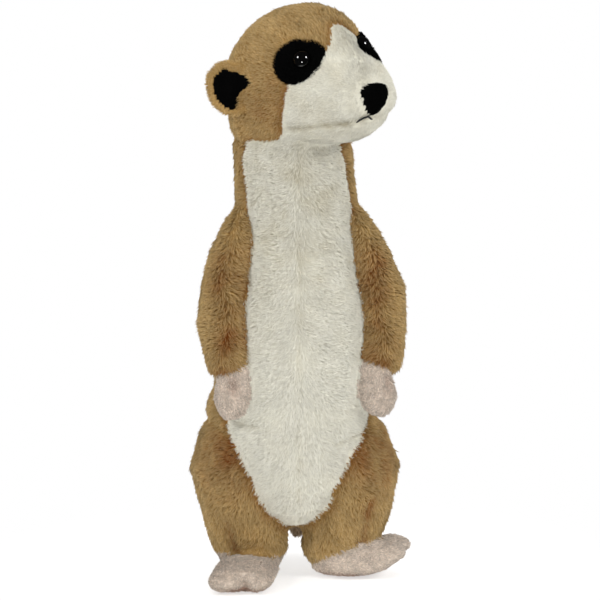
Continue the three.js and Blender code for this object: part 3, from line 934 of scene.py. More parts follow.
@dataclass
class Stuffing:
    """The filling: a cloth simulation that presses the skin out a little between the seams that hold it."""

    voxel: float = 4.5
    pressure: float = 10.0
    frames: int = 20
    stretch: float = 0.1  # the knit's stiffness in stretching, where a woven cloth has 15
    bending: float = 8.0  # and in bending, where a woven cloth has 0.5
    slack: float = 0.002  # how much larger the cloth is cut than its form
    cap: float = 1.6  # how far a point of the coarse copy may move

    def swelling(self, skin: "Skin") -> np.ndarray:
        """Simulates the filling on a coarse copy of the skin.

        Args:
            skin: the skin, already sunk by the depth of its pile.

        Returns:
            How far each of the skin's vertices moves, in millimetres. The mean swelling is left out, so
            that the toy keeps its size.
        """
        body = bpy.data.objects.new("stuffing", skin.body.data.copy())
        bpy.context.scene.collection.objects.link(body)
        remesh = body.modifiers.new("coarser", "REMESH")
        remesh.mode = "VOXEL"
        remesh.voxel_size = self.voxel * MM
        coarse = bpy.data.meshes.new_from_object(body.evaluated_get(bpy.context.evaluated_depsgraph_get()))
        body.modifiers.clear()
        body.data = coarse
        rest = np.array([vertex.co for vertex in coarse.vertices]) / MM
        held = self.nearest(skin.at, skin.spread(skin.held, 3), rest)
        pins = body.vertex_groups.new(name="stitched")
        for i, weight in enumerate(held.tolist()):
            pins.add([i], min(1.0, weight), "REPLACE")
        cloth = body.modifiers.new("filling", "CLOTH")
        cloth.settings.tension_stiffness = self.stretch
        cloth.settings.compression_stiffness = self.stretch
        cloth.settings.shear_stiffness = self.stretch
        cloth.settings.bending_stiffness = self.bending
        cloth.settings.quality = 5
        cloth.settings.use_pressure = True
        cloth.settings.uniform_pressure_force = self.pressure
        cloth.settings.shrink_min = -self.slack
        cloth.settings.vertex_group_mass = pins.name
        cloth.settings.effector_weights.gravity = 0
        cloth.point_cache.frame_start = 1
        cloth.point_cache.frame_end = self.frames
        for frame in range(1, self.frames + 1):
            bpy.context.scene.frame_set(frame)
        blown = bpy.data.meshes.new_from_object(body.evaluated_get(bpy.context.evaluated_depsgraph_get()))
        moved = np.array([vertex.co for vertex in blown.vertices]) / MM - rest
        bpy.data.objects.remove(body)
        bpy.data.meshes.remove(blown)
        bpy.data.meshes.remove(coarse)
        bpy.context.scene.frame_set(1)
        distance = np.linalg.norm(moved, axis=1, keepdims=True)
        moved *= np.minimum(1, self.cap / np.maximum(distance, 1e-6))
        LOG.info(
            "filling: %d vertices, moved %.2f mm, at most %.2f before the cap",
            len(rest),
            distance.mean(),
            distance.max(),
        )
        swelling = skin.spread(self.nearest(rest, moved, skin.at), 6)
        outward = np.sum(swelling * skin.normals, axis=1).mean()
        return swelling - outward * skin.normals * (1 - skin.spread(skin.held, 3))[:, None]

    @staticmethod
    def nearest(places: np.ndarray, values: np.ndarray, wanted: np.ndarray, count: int = 4) -> np.ndarray:
        """Carries values over from one set of points to another.

        Args:
            places: the points that have values.
            values: their values.
            wanted: the points that need them.
            count: how many of the nearest points are averaged.

        Returns:
            The values at the wanted points.
        """
        tree = KDTree(len(places))
        for i, place in enumerate(places.tolist()):
            tree.insert(place, i)
        tree.balance()
        found = [tree.find_n(place, count) for place in wanted.tolist()]
        index = np.array([[one[1] for one in near] for near in found])
        weight = 1 / (np.array([[one[2] for one in near] for near in found]) + 0.5)
        weight /= weight.sum(1, keepdims=True)
        near = values[index]
        return np.sum(near * weight.reshape(weight.shape + (1,) * (near.ndim - 2)), axis=1)


@dataclass
class Skin:
    """The one cloth skin under the pile, remeshed from copies of the CAD solids."""

    parts: Sequence[SubAssembly]
    voxel: float = 1.25
    overlap: float = 0.4  # each copy is swollen by this much, so that they grow together
    fair_rounds: int = 40
    fair_steps: tuple[float, float] = (0.5, -0.52)  # to the neighbours' mean and back, which keeps the size
    eye_hold: float = 0.7  # how freely fairing may round off the cloth under an eye
    eye_sink: float = 3.0  # how deep that cloth lies
    seam_depth: float = 0.7  # how far stitches draw the cloth in
    panels: list[Panel] = field(init=False)
    body: bpy.types.Object = field(init=False)
    edges: np.ndarray = field(init=False)
    at: np.ndarray = field(init=False)  # vertices, in millimetres
    shares: np.ndarray = field(init=False)  # of each panel at each vertex

    def __post_init__(self) -> None:
        """Makes the skin, shapes it and works out which panel each vertex is on."""
        self.panels = [panel for part in self.parts for panel in part.panels]
        self.body = self.remeshed()
        self.edges = self.read("edges", "vertices", 2)
        self.at = self.read("vertices", "co", 3) / MM
        self.find_panels()
        self.fair()
        self.sink(self.pile_depth, 4)
        self.at += Stuffing().swelling(self)
        self.write()
        self.sink(self.spread(self.seams, 2) * self.seam_depth + self.gather("folds", 1), 1)

    @property
    def names(self) -> list[str]:
        """The names of the nodes that the skin stands for, in the panels' order, then the eyes."""
        return [panel.node for panel in self.panels] + ["eye_left", "eye_right"]

    def read(self, group: str, key: str, width: int) -> np.ndarray:
        """Reads one value for each element of the mesh as an array.

        Args:
            group: vertices, edges, polygons or loops.
            key: the value's name.
            width: how many numbers it has.

        Returns:
            The values, one row for each element.
        """
        elements = getattr(self.body.data, group)
        kind = np.float32 if key in ("co", "normal", "vector") else np.int32
        values = np.empty(len(elements) * width, kind)
        elements.foreach_get(key, values)
        values = values.reshape(-1, width) if width > 1 else values
        return values.astype(np.float64) if kind is np.float32 else values

    def remeshed(self) -> bpy.types.Object:
        """Joins swollen copies of the nodes into one closed mesh of small squares.

        Returns:
            The skin's object.
        """
        joined = bmesh.new()
        for name in self.names:
            piece = bmesh.new()
            piece.from_mesh(bpy.data.objects[name].data)
            bmesh.ops.remove_doubles(piece, verts=piece.verts, dist=1e-6)
            piece.normal_update()
            for vertex in piece.verts:
                vertex.co += vertex.normal * self.overlap * MM
            copy = bpy.data.meshes.new(name + "_copy")
            piece.to_mesh(copy)
            piece.free()
            joined.from_mesh(copy)
            bpy.data.meshes.remove(copy)
        rough = bpy.data.meshes.new("skin_rough")
        joined.to_mesh(rough)
        joined.free()
        body = bpy.data.objects.new("skin", rough)
        bpy.context.scene.collection.objects.link(body)
        remesh = body.modifiers.new("grow together", "REMESH")
        remesh.mode = "VOXEL"
        remesh.voxel_size = self.voxel * MM
        whole = bpy.data.meshes.new_from_object(body.evaluated_get(bpy.context.evaluated_depsgraph_get()))
        body.modifiers.clear()
        body.data = whole
        bpy.data.meshes.remove(rough)
        self.keep_outer(body)
        return body

    @staticmethod
    def keep_outer(body: bpy.types.Object) -> None:
        """Deletes all but the largest of the mesh's closed shells."""
        mesh = bmesh.new()
        mesh.from_mesh(body.data)
        unseen = set(mesh.verts)
        shells = []
        while unseen:
            shell, edge = set(), {unseen.pop()}
            while edge:
                shell |= edge
                edge = {other.other_vert(v) for v in edge for other in v.link_edges} - shell
            unseen -= shell
            shells.append(shell)
        largest = max(shells, key=len)
        inner = [v for shell in shells if shell is not largest for v in shell]
        bmesh.ops.delete(mesh, geom=inner, context="VERTS")
        mesh.to_mesh(body.data)
        mesh.free()

    def spread(self, values: np.ndarray, rounds: int) -> np.ndarray:
        """Smooths values over the skin.

        Args:
            values: one row for each vertex.
            rounds: how often each value moves halfway to its neighbours' mean.

        Returns:
            The smoothed values.
        """
        for _ in range(rounds):
            values = (values + self.neighbours(values)) / 2
        return values

    def neighbours(self, values: np.ndarray) -> np.ndarray:
        """The mean of the values at each vertex's neighbours."""
        first, second = self.edges.T
        count = len(values)
        columns = values.reshape(count, -1)
        total = np.empty_like(columns)
        for i in range(columns.shape[1]):
            column = columns[:, i]
            total[:, i] = np.bincount(first, column[second], count)
            total[:, i] += np.bincount(second, column[first], count)
        valence = np.bincount(self.edges.ravel(), minlength=count)
        return (total / np.maximum(valence, 1)[:, None]).reshape(values.shape)

    def find_panels(self) -> None:
        """Gives each vertex the node whose solid is nearest, with softened borders."""
        corners, owners, places = [], [], []
        start = 0
        for i, name in enumerate(self.names):
            mesh = bpy.data.objects[name].data
            mesh.calc_loop_triangles()
            triangles = np.empty(len(mesh.loop_triangles) * 3, np.int32)
            mesh.loop_triangles.foreach_get("vertices", triangles)
            corners.append(triangles.reshape(-1, 3) + start)
            owners.append(np.full(len(mesh.loop_triangles), i))
            places.append(node_points(name))
            start += len(mesh.vertices)
        tree = BVHTree.FromPolygons(np.concatenate(places).tolist(), np.concatenate(corners).tolist())
        owner = np.concatenate(owners)
        nearest = owner[[tree.find_nearest(place)[2] for place in self.at.tolist()]]
        names = np.array(self.names)[nearest]
        for part in self.parts:
            mine = np.isin(names, [panel.node for panel in part.panels])
            names[mine] = part.marks(SkinPoints(self.at[mine], self.normals[mine], names[mine]))
        self.shares = self.spread(1.0 * (names[:, None] == np.array(self.names)), 4)

    def fair(self) -> None:
        """Rounds off the facets that the solids leave, without shrinking the skin."""
        hold = self.shares @ np.array([panel.hold for panel in self.panels] + [self.eye_hold] * 2)
        for _ in range(self.fair_rounds):
            for step in self.fair_steps:
                self.at += (step * hold)[:, None] * (self.neighbours(self.at) - self.at)
        self.write()

    def write(self) -> None:
        """Writes the vertices back to the mesh."""
        self.body.data.vertices.foreach_set("co", (self.at * MM).astype(np.float32).ravel())
        self.body.data.update()

    @property
    def normals(self) -> np.ndarray:
        """The skin's normals at its vertices."""
        return self.read("vertex_normals", "vector", 3)

    @property
    def pile_depth(self) -> np.ndarray:
        """How deep the cloth lies under the tips of its pile at each vertex."""
        depths = np.array([panel.pile.depth - panel.swell for panel in self.panels] + [self.eye_sink] * 2)
        return self.spread(self.shares @ (depths + self.overlap), 6)

    @property
    def seams(self) -> np.ndarray:
        """One on the seams between panels, falling to zero beside them."""
        return np.clip(2 * (1 - self.shares.max(1)), 0, 1)

    @property
    def held(self) -> np.ndarray:
        """One where stitches or a glued or plastic part hold the cloth, zero where it is free."""
        stiff = [panel.cloth in (Cloth.BLACK, Cloth.VELOUR) for panel in self.panels] + [True, True]
        return np.maximum(self.seams, self.shares @ np.array(stiff, float))

    def sink(self, depth: np.ndarray, steps: int) -> None:
        """Sinks the cloth by a depth at each vertex, in steps so that the normals can follow."""
        for _ in range(steps):
            self.at -= self.normals * depth[:, None] / steps
            if steps > 1:
                self.at = self.at * 0.5 + self.spread(self.at, 1) * 0.5
            self.write()

    def points(self, part: SubAssembly) -> tuple[np.ndarray, SkinPoints]:
        """The vertices of a sub-assembly's panels, as a mask and as points."""
        names = np.array(self.names)[self.shares.argmax(1)]
        names = np.char.replace(names, "eye_left", "eye_patch_left")
        names = np.char.replace(names, "eye_right", "eye_patch_right")
        mine = np.isin(names, [panel.node for panel in part.panels])
        return mine, SkinPoints(self.at[mine], self.normals[mine], names[mine])

    def gather(self, name: str, width: int) -> np.ndarray:
        """Gathers what each sub-assembly says of its own vertices.

        Args:
            name: the method that says it.
            width: how many numbers it gives for a vertex.

        Returns:
            The values for the whole skin.
        """
        values = np.zeros((len(self.at), width) if width > 1 else len(self.at))
        for part in self.parts:
            mine, points = self.points(part)
            values[mine] = getattr(part, name)(points)
        return values

    def share_of(self, *cloths: Cloth) -> np.ndarray:
        """How much of each vertex is in panels of these cloths."""
        return self.shares @ np.array([panel.cloth in cloths for panel in self.panels] + [False, False])

    def near(self, *cloths: Cloth) -> np.ndarray:
        """One beside panels of these cloths, falling to zero a few millimetres away."""
        return np.clip(2.2 * self.spread(self.share_of(*cloths), 10), 0, 1)

    def noise(self, rng: np.random.Generator, rounds: int) -> np.ndarray:
        """Smooth noise over the skin, of mean zero and deviation one."""
        values = self.spread(rng.normal(size=len(self.at)), rounds)
        return values / values.std()

    def save(self, name: str, values: np.ndarray) -> None:
        """Stores a value for each vertex with the mesh, under a name."""
        kind, key = ("FLOAT", "value") if values.ndim == 1 else ("FLOAT_VECTOR", "vector")
        attribute = self.body.data.attributes.new(name, kind, "POINT")
        attribute.data.foreach_set(key, values.astype(np.float32).ravel())

    def comb(self, rng: np.random.Generator) -> None:
        """Stores with the mesh how the pile lies, stands, is trimmed and parts, and where shade is painted
        into it.

        Args:
            rng: the seeded source of random numbers.
        """
        normals = self.normals
        lie = along_surface(self.gather("lie", 3), normals)
        lie = along_surface(self.spread(lie, 6), normals)
        swirl = 0.22 * self.noise(rng, 50)[:, None]  # radians that the pile strays from its lie
        tan = self.share_of(Cloth.TAN, Cloth.DARK) > 0.5
        cream, velour, black = (self.near(cloth) for cloth in (Cloth.CREAM, Cloth.VELOUR, Cloth.BLACK))
        # The gathered values carry the real partings and also the shade painted into folds, tucks and the
        # upper cream.
        parting_and_shade = self.gather("parting_and_shade", 1) * (1 + 0.35 * self.noise(rng, 20))
        fluff = 0.16 * self.noise(rng, 40) + 0.7 * parting_and_shade * tan
        parting_and_shade = parting_and_shade + 0.6 * cream * tan
        edge = self.near(Cloth.TAN) * self.share_of(Cloth.CREAM)
        trim = 1 - 0.6 * velour * (1 - self.share_of(Cloth.VELOUR)) - 0.62 * edge
        trim -= 0.35 * black * (1 - self.share_of(Cloth.BLACK))
        trim -= 0.25 * self.near(Cloth.TAN, Cloth.CREAM) * self.share_of(Cloth.BLACK)
        self.save("normal_of_skin", normals)
        self.save("lie", lie * np.cos(swirl) + np.cross(normals, lie) * np.sin(swirl))
        self.save("parting_and_shade", np.clip(parting_and_shade, 0, 1))
        self.save("fluff", np.clip(fluff, -0.2, 0.8))
        self.save("trim", trim)
        self.save("along", np.full(len(self.at), 0.45))
        self.save("shade", np.zeros(len(self.at)))

    def cut(self, materials: dict[Cloth, bpy.types.Material]) -> dict[str, bpy.types.Object]:
        """Cuts the skin into its panels and unwraps each one.

        Args:
            materials: the finish of each cloth.

        Returns:
            The panels' objects by node name.
        """
        mesh = self.body.data
        shares = self.shares[:, : len(self.panels)].copy()
        for i, name in enumerate(self.names[-2:]):
            patch = self.names.index(name.replace("eye_", "eye_patch_"))
            shares[:, patch] += self.shares[:, len(self.panels) + i]
        corners = self.read("loops", "vertex_index", 1)
        totals = self.read("polygons", "loop_total", 1)
        face = np.repeat(np.arange(len(totals)), totals)
        weights = [np.bincount(face, shares[corners, i], len(totals)) for i in range(len(self.panels))]
        panel = np.argmax(weights, axis=0)
        for i in range(len(self.panels)):
            mesh.materials.append(materials[self.panels[i].cloth])
        mesh.polygons.foreach_set("material_index", panel.astype(np.int32))
        owner = mesh.attributes.new("panel", "INT", "FACE")
        owner.data.foreach_set("value", panel.astype(np.int32))
        mesh.uv_layers.new(name=BAKE_MAP)
        bpy.ops.object.select_all(action="DESELECT")
        self.body.select_set(True)
        bpy.context.view_layer.objects.active = self.body
        bpy.ops.object.mode_set(mode="EDIT")
        bpy.ops.mesh.select_all(action="SELECT")
        bpy.ops.mesh.separate(type="MATERIAL")
        bpy.ops.object.mode_set(mode="OBJECT")
        found = {}
        for cut in list(bpy.context.selected_objects):
            named = self.panels[cut.data.attributes["panel"].data[0].value]
            cut.name = named.node + "_cloth"
            cut.data.name = cut.name
            cut.data.materials.clear()
            cut.data.materials.append(materials[named.cloth])
            cut.data.attributes.remove(cut.data.attributes["panel"])
            cut.data.shade_smooth()
            found[named.node] = cut
        for cut in found.values():
            self.unwrap(cut)
        return found

    @staticmethod
    def unwrap(piece: bpy.types.Object) -> None:
        """Lays a panel's cloth out flat on its bake map."""
        bpy.ops.object.select_all(action="DESELECT")
        piece.select_set(True)
        bpy.context.view_layer.objects.active = piece
        bpy.ops.object.mode_set(mode="EDIT")
        bpy.ops.mesh.select_all(action="SELECT")
        bpy.ops.uv.smart_project(angle_limit=1.15, island_margin=0.004, scale_to_bounds=True)
        bpy.ops.object.mode_set(mode="OBJECT")


# ---- the coat --------------------------------------------------------------------------------------


@dataclass
class Coat:
    """The tufts of the pile over one panel: closed solid blades with four faces, widest at their bend."""

    panel: Panel
    cloth: bpy.types.Object
    skin_tree: BVHTree
    seed: int
    root_sunk: float = 0.4  # below the cloth
    clearance: float = 3.0  # kept from another part of the skin
    search_start: float = 1.2  # from the root, where the search for that other part starts
    length_spread: float = 0.14  # of one tuft from the next, as a share
    width_spread: float = 0.15  # likewise
    lean_spread: float = 0.13  # in radians
    lowest: tuple[float, float, float, float] = (0.35, 0.15, 0.15, 0.02)  # of each of a tuft's corners
    patch: float = 0.003  # of a tuft on the bake map
    most_triangles: int = 199_000  # in one object

    def column(self, name: str, width: int) -> np.ndarray:
        """Reads one of the skin's stored values from the panel."""
        data = self.cloth.data.attributes[name].data
        values = np.empty(len(data) * width, np.float32)
        data.foreach_get("vector" if width > 1 else "value", values)
        return values.reshape(-1, width) if width > 1 else values

    def sow(self, rng: np.random.Generator) -> dict[str, np.ndarray]:
        """Scatters the tufts' roots evenly over the panel.

        Args:
            rng: the seeded source of random numbers.

        Returns:
            Each root's place, normal, lie, trim, fluff, parting and place on the bake map.
        """
        mesh = self.cloth.data
        corners = np.empty(len(mesh.loops), np.int32)
        mesh.loops.foreach_get("vertex_index", corners)
        flat = np.empty(len(mesh.loops) * 2, np.float32)
        mesh.uv_layers[BAKE_MAP].uv.foreach_get("vector", flat)
        quads = corners.reshape(-1, 4)
        flat = flat.reshape(-1, 4, 2)
        places = np.empty(len(mesh.vertices) * 3, np.float32)
        mesh.vertices.foreach_get("co", places)
        at = places.reshape(-1, 3)[quads] / MM
        area = np.linalg.norm(np.cross(at[:, 2] - at[:, 0], at[:, 3] - at[:, 1]), axis=1) / 2
        wanted = area * self.panel.pile.per_mm2
        count = (wanted + rng.random(len(wanted))).astype(int)
        face = np.repeat(np.arange(len(quads)), count)
        s, t = rng.random((2, len(face), 1))
        weights = np.stack([(1 - s) * (1 - t), s * (1 - t), s * t, (1 - s) * t], axis=1)
        corner = quads[face]
        return {
            "at": np.sum(at[face] * weights, axis=1),
            "normal": unit(np.sum(self.column("normal_of_skin", 3)[corner] * weights, axis=1)),
            "lie": np.sum(self.column("lie", 3)[corner] * weights, axis=1),
            "trim": np.sum(self.column("trim", 1)[corner] * weights[:, :, 0], axis=1),
            "fluff": np.sum(self.column("fluff", 1)[corner] * weights[:, :, 0], axis=1),
            "parting_and_shade": np.sum(self.column("parting_and_shade", 1)[corner] * weights[:, :, 0], axis=1),
            "map": np.sum(flat[face] * weights, axis=1),
        }

    def grow(self, roots: dict[str, np.ndarray], rng: np.random.Generator) -> tuple[np.ndarray, np.ndarray]:
        """Shapes the tufts.

        Args:
            roots: the roots, as sow gives them.
            rng: the seeded source of random numbers.

        Returns:
            The four corners of each tuft, in millimetres, and their shading normals.
        """
        pile = self.panel.pile
        count = len(roots["at"])
        normal = roots["normal"]
        lie = along_surface(roots["lie"], normal)
        turn = rng.normal(0, pile.ruffle, (count, 1))
        lie = lie * np.cos(turn) + np.cross(normal, lie) * np.sin(turn)
        fluff = roots["fluff"][:, None]
        stand = 1 - 0.4 * fluff
        grown = rng.normal(1, self.length_spread, (count, 1)).clip(0.6, 1.35)
        length = pile.length * grown * roots["trim"][:, None]
        rise = np.radians(pile.rise) * stand + rng.normal(0, self.lean_spread, (count, 1))
        fall = np.radians(pile.fall) * stand + rng.normal(0, self.lean_spread, (count, 1))
        root = roots["at"] - normal * self.root_sunk
        first = normal * np.cos(rise) + lie * np.sin(rise)
        second = normal * np.cos(fall) + lie * np.sin(fall)
        length = self.kept_clear(root, unit(first + second), length)
        middle = root + first * length / 2
        tip = middle + second * length / 2
        middle, tip = self.gathered(middle, tip, pile.lock * (0.8 + 1.6 * fluff), rng)
        above = np.sum((middle - (root + tip) / 2) * normal, axis=1, keepdims=True)
        middle = middle + normal * np.maximum(0.15 - above, 0)
        spun = rng.normal(1, self.width_spread, (count, 1)).clip(0.6, 1.4)
        width = pile.width * spun * (0.45 + 0.55 * roots["trim"][:, None])
        sideways = unit(np.cross(normal, unit(tip - root)))
        corners = np.stack([root, middle + sideways * width / 2, middle - sideways * width / 2, tip], axis=1)
        corners[:, :, 2] = np.maximum(corners[:, :, 2], self.lowest)
        own = np.stack([normal, sideways, -sideways, first * 0.5], axis=1)
        whole = unit(normal + lie * pile.lean)[:, None]
        return corners, unit(whole * (1 - pile.relief) + own * pile.relief)

    def kept_clear(self, root: np.ndarray, way: np.ndarray, length: np.ndarray) -> np.ndarray:
        """Shortens the tufts that would reach into another part of the toy."""
        starts = root + way * self.search_start
        reach = self.panel.pile.length + self.clearance
        kept = length.copy()
        for i, (start, direction) in enumerate(zip(starts.tolist(), way.tolist())):
            found = self.skin_tree.ray_cast(Vector(start), Vector(direction), reach)[3]
            if found is not None:
                room = found + self.search_start - self.clearance
                kept[i] = np.clip(room, 0.3 * length[i], length[i])
        return kept

    def gathered(
        self, middle: np.ndarray, tip: np.ndarray, lock: np.ndarray, rng: np.random.Generator
    ) -> tuple[np.ndarray, np.ndarray]:
        """Draws the tips of neighbouring tufts together into locks.

        Args:
            middle: the tufts' middles.
            tip: their tips.
            lock: how far each tip is drawn to its lock.
            rng: the seeded source of random numbers.

        Returns:
            The new middles and tips.
        """
        count = len(tip)
        leaders = rng.choice(count, max(1, count // self.panel.pile.lock_tufts), replace=False)
        tree = KDTree(len(leaders))
        for i, place in zip(leaders.tolist(), tip[leaders].tolist()):
            tree.insert(place, i)
        tree.balance()
        leader = np.array([tree.find(place)[1] for place in tip.tolist()])
        draw = lock * rng.uniform(0.5, 1.0, (count, 1))
        return middle + (middle[leader] - middle) * draw * 0.25, tip + (tip[leader] - tip) * draw

    def build(self, finish: bpy.types.Material) -> list[bpy.types.Object]:
        """Plants the panel.

        Args:
            finish: the cloth's material.

        Returns:
            The coat's objects, more than one where one would hold too many triangles.
        """
        rng = np.random.default_rng([SEED, self.seed])
        roots = self.sow(rng)
        corners, normals = self.grow(roots, rng)
        count = len(corners)
        shade = rng.normal(0, 0.6, count).clip(-1.5, 1.5)
        pieces = math.ceil(4 * count / self.most_triangles)
        order = np.argsort(roots["at"][:, 0])
        made = []
        for i, part in enumerate(np.array_split(order, pieces)):
            name = f"{self.panel.node}_pile" + (f"_{i + 1}" if pieces > 1 else "")
            made.append(
                self.mesh_of(
                    name,
                    corners[part],
                    normals[part],
                    roots["map"][part],
                    roots["parting_and_shade"][part],
                    shade[part],
                    finish,
                )
            )
        return made

    def mesh_of(
        self,
        name: str,
        corners: np.ndarray,
        normals: np.ndarray,
        flat: np.ndarray,
        parting_and_shade: np.ndarray,
        shade: np.ndarray,
        finish: bpy.types.Material,
    ) -> bpy.types.Object:
        """Joins tufts into one mesh object.

        Args:
            name: the object's name.
            corners: the four corners of each tuft, in millimetres: root, left, right and tip.
            normals: their shading normals.
            flat: each root's place on the bake map.
            parting_and_shade: how much of the parted colour each tuft takes, which also paints shade in
                folds, tucks and the upper cream.
            shade: each tuft's own shade.
            finish: the cloth's material.

        Returns:
            The object.
        """
        count = len(corners)
        root, left, right, tip = range(4)
        faces = np.array([(root, right, left), (tip, left, right), (root, left, tip), (root, tip, right)])
        mesh = bpy.data.meshes.new(name)
        mesh.vertices.add(4 * count)
        mesh.vertices.foreach_set("co", (corners * MM).astype(np.float32).ravel())
        mesh.loops.add(12 * count)
        loops = faces[None] + 4 * np.arange(count)[:, None, None]
        mesh.loops.foreach_set("vertex_index", loops.astype(np.int32).ravel())
        mesh.polygons.add(4 * count)
        mesh.polygons.foreach_set("loop_start", np.arange(0, 12 * count, 3, dtype=np.int32))
        mesh.update(calc_edges=True)
        mesh.shade_smooth()
        layout = np.array([(0.0, -0.5), (0.5, 0.0), (-0.5, 0.0), (0.0, 0.5)])[faces.ravel()] * self.patch
        places = flat[:, None] + layout
        mesh.uv_layers.new(name=BAKE_MAP)
        mesh.uv_layers[BAKE_MAP].uv.foreach_set("vector", places.astype(np.float32).ravel())
        for key, values in (
            ("along", np.tile([0.0, 0.55, 0.55, 1.0], count)),
            ("parting_and_shade", np.repeat(parting_and_shade, 4)),
            ("shade", np.repeat(shade, 4)),
        ):
            mesh.attributes.new(key, "FLOAT", "POINT").data.foreach_set("value", values.astype(np.float32))
        shading = mesh.attributes.new("custom_normal", "FLOAT_VECTOR", "POINT")
        shading.data.foreach_set("vector", normals.astype(np.float32).ravel())
        mesh.materials.append(finish)
        piece = bpy.data.objects.new(name, mesh)
        bpy.context.scene.collection.objects.link(piece)
        return piece


# ---- eyes and threads ------------------------------------------------------------------------------


@dataclass
class Eye:
    """A plastic safety eye: a polished ball set into the cloth."""

    word: str
    segments: int = 48

    def build(self, finish: bpy.types.Material) -> bpy.types.Object:
        """Makes the eye at the CAD eye's place and size.

        Args:
            finish: the plastic.

        Returns:
            The eye's object.
        """
        low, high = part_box(f"eye_{self.word}")
        mesh = bmesh.new()
        radius = (high.z - low.z) / 2
        bmesh.ops.create_uvsphere(
            mesh,
            u_segments=self.segments,
            v_segments=self.segments // 2,
            radius=radius,
        )
        bmesh.ops.translate(mesh, verts=mesh.verts, vec=(low + high) / 2)
        data = bpy.data.meshes.new(f"eye_ball_{self.word}")
        mesh.to_mesh(data)
        mesh.free()
        data.shade_smooth()
        data.materials.append(finish)
        eye = bpy.data.objects.new(data.name, data)
        bpy.context.scene.collection.objects.link(eye)
        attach(eye, "root")
        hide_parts(f"eye_{self.word}")
        return eye


@dataclass
class Embroidery:
    """Slanting stitches of thread that overlap along a line. Lengths are in millimetres."""

    name: str
    line: list[np.ndarray]
    stitch: float = 2.0
    pitch: float = 0.55
    thread: float = 0.65  # its thickness
    slant: float = 0.4  # of a stitch to the line, in radians
    proud: float = 0.15  # how far the thread's middle stands off the line
    sides: int = 8

    def build(self, finish: bpy.types.Material, outward: np.ndarray) -> bpy.types.Object:
        """Sews the line.

        Args:
            finish: the thread.
            outward: the way the cloth faces.

        Returns:
            The stitches, as one object.
        """
        line = np.array(self.line)
        reach = np.concatenate([[0], np.cumsum(np.linalg.norm(np.diff(line, axis=0), axis=1))])
        stops = np.arange(0, reach[-1], self.pitch)
        places = np.stack([np.interp(stops, reach, line[:, i]) for i in range(3)], axis=1)
        along = along_surface(np.gradient(places, axis=0), np.tile(outward, (len(places), 1)))
        across = np.cross(outward, along)
        turn = np.linspace(0, 2 * math.pi, self.sides, endpoint=False)
        sections = np.linspace(-1, 1, 9)  # from one end of a stitch to the other
        mesh = bmesh.new()
        for place, ahead, beside in zip(places, along, across):
            way = ahead * math.cos(self.slant) + beside * math.sin(self.slant)
            aside = np.cross(outward, way)
            rings = []
            for share in sections:
                radius = self.thread / 2 * math.sqrt(max(0.06, 1 - share**4))
                middle = place + way * share * self.stitch / 2 + outward * (self.proud - 0.35 * share**2)
                ring = [middle + radius * (math.cos(t) * aside + math.sin(t) * outward) for t in turn]
                rings.append([mesh.verts.new(Vector(point * MM)) for point in ring])
            for first, second in zip(rings, rings[1:]):
                for i in range(self.sides):
                    j = (i + 1) % self.sides
                    mesh.faces.new((first[i], second[i], second[j], first[j]))
            mesh.faces.new(rings[0])
            mesh.faces.new(rings[-1][::-1])
        bmesh.ops.recalc_face_normals(mesh, faces=mesh.faces)
        data = bpy.data.meshes.new(self.name)
        mesh.to_mesh(data)
        mesh.free()
        data.shade_smooth()
        data.materials.append(finish)
        piece = bpy.data.objects.new(self.name, data)
        bpy.context.scene.collection.objects.link(piece)
        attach(piece, "root")
        return piece


# ---- the studio ------------------------------------------------------------------------------------


@dataclass
class Lamp:
    """A square soft lamp that faces the toy. Angles in degrees, sizes in metres."""

    name: str
    azimuth: float  # round from the front, to the toy's left
    elevation: float
    distance: float
    size: float
    watts: float
    mirrored: bool = True  # whether shiny things show it


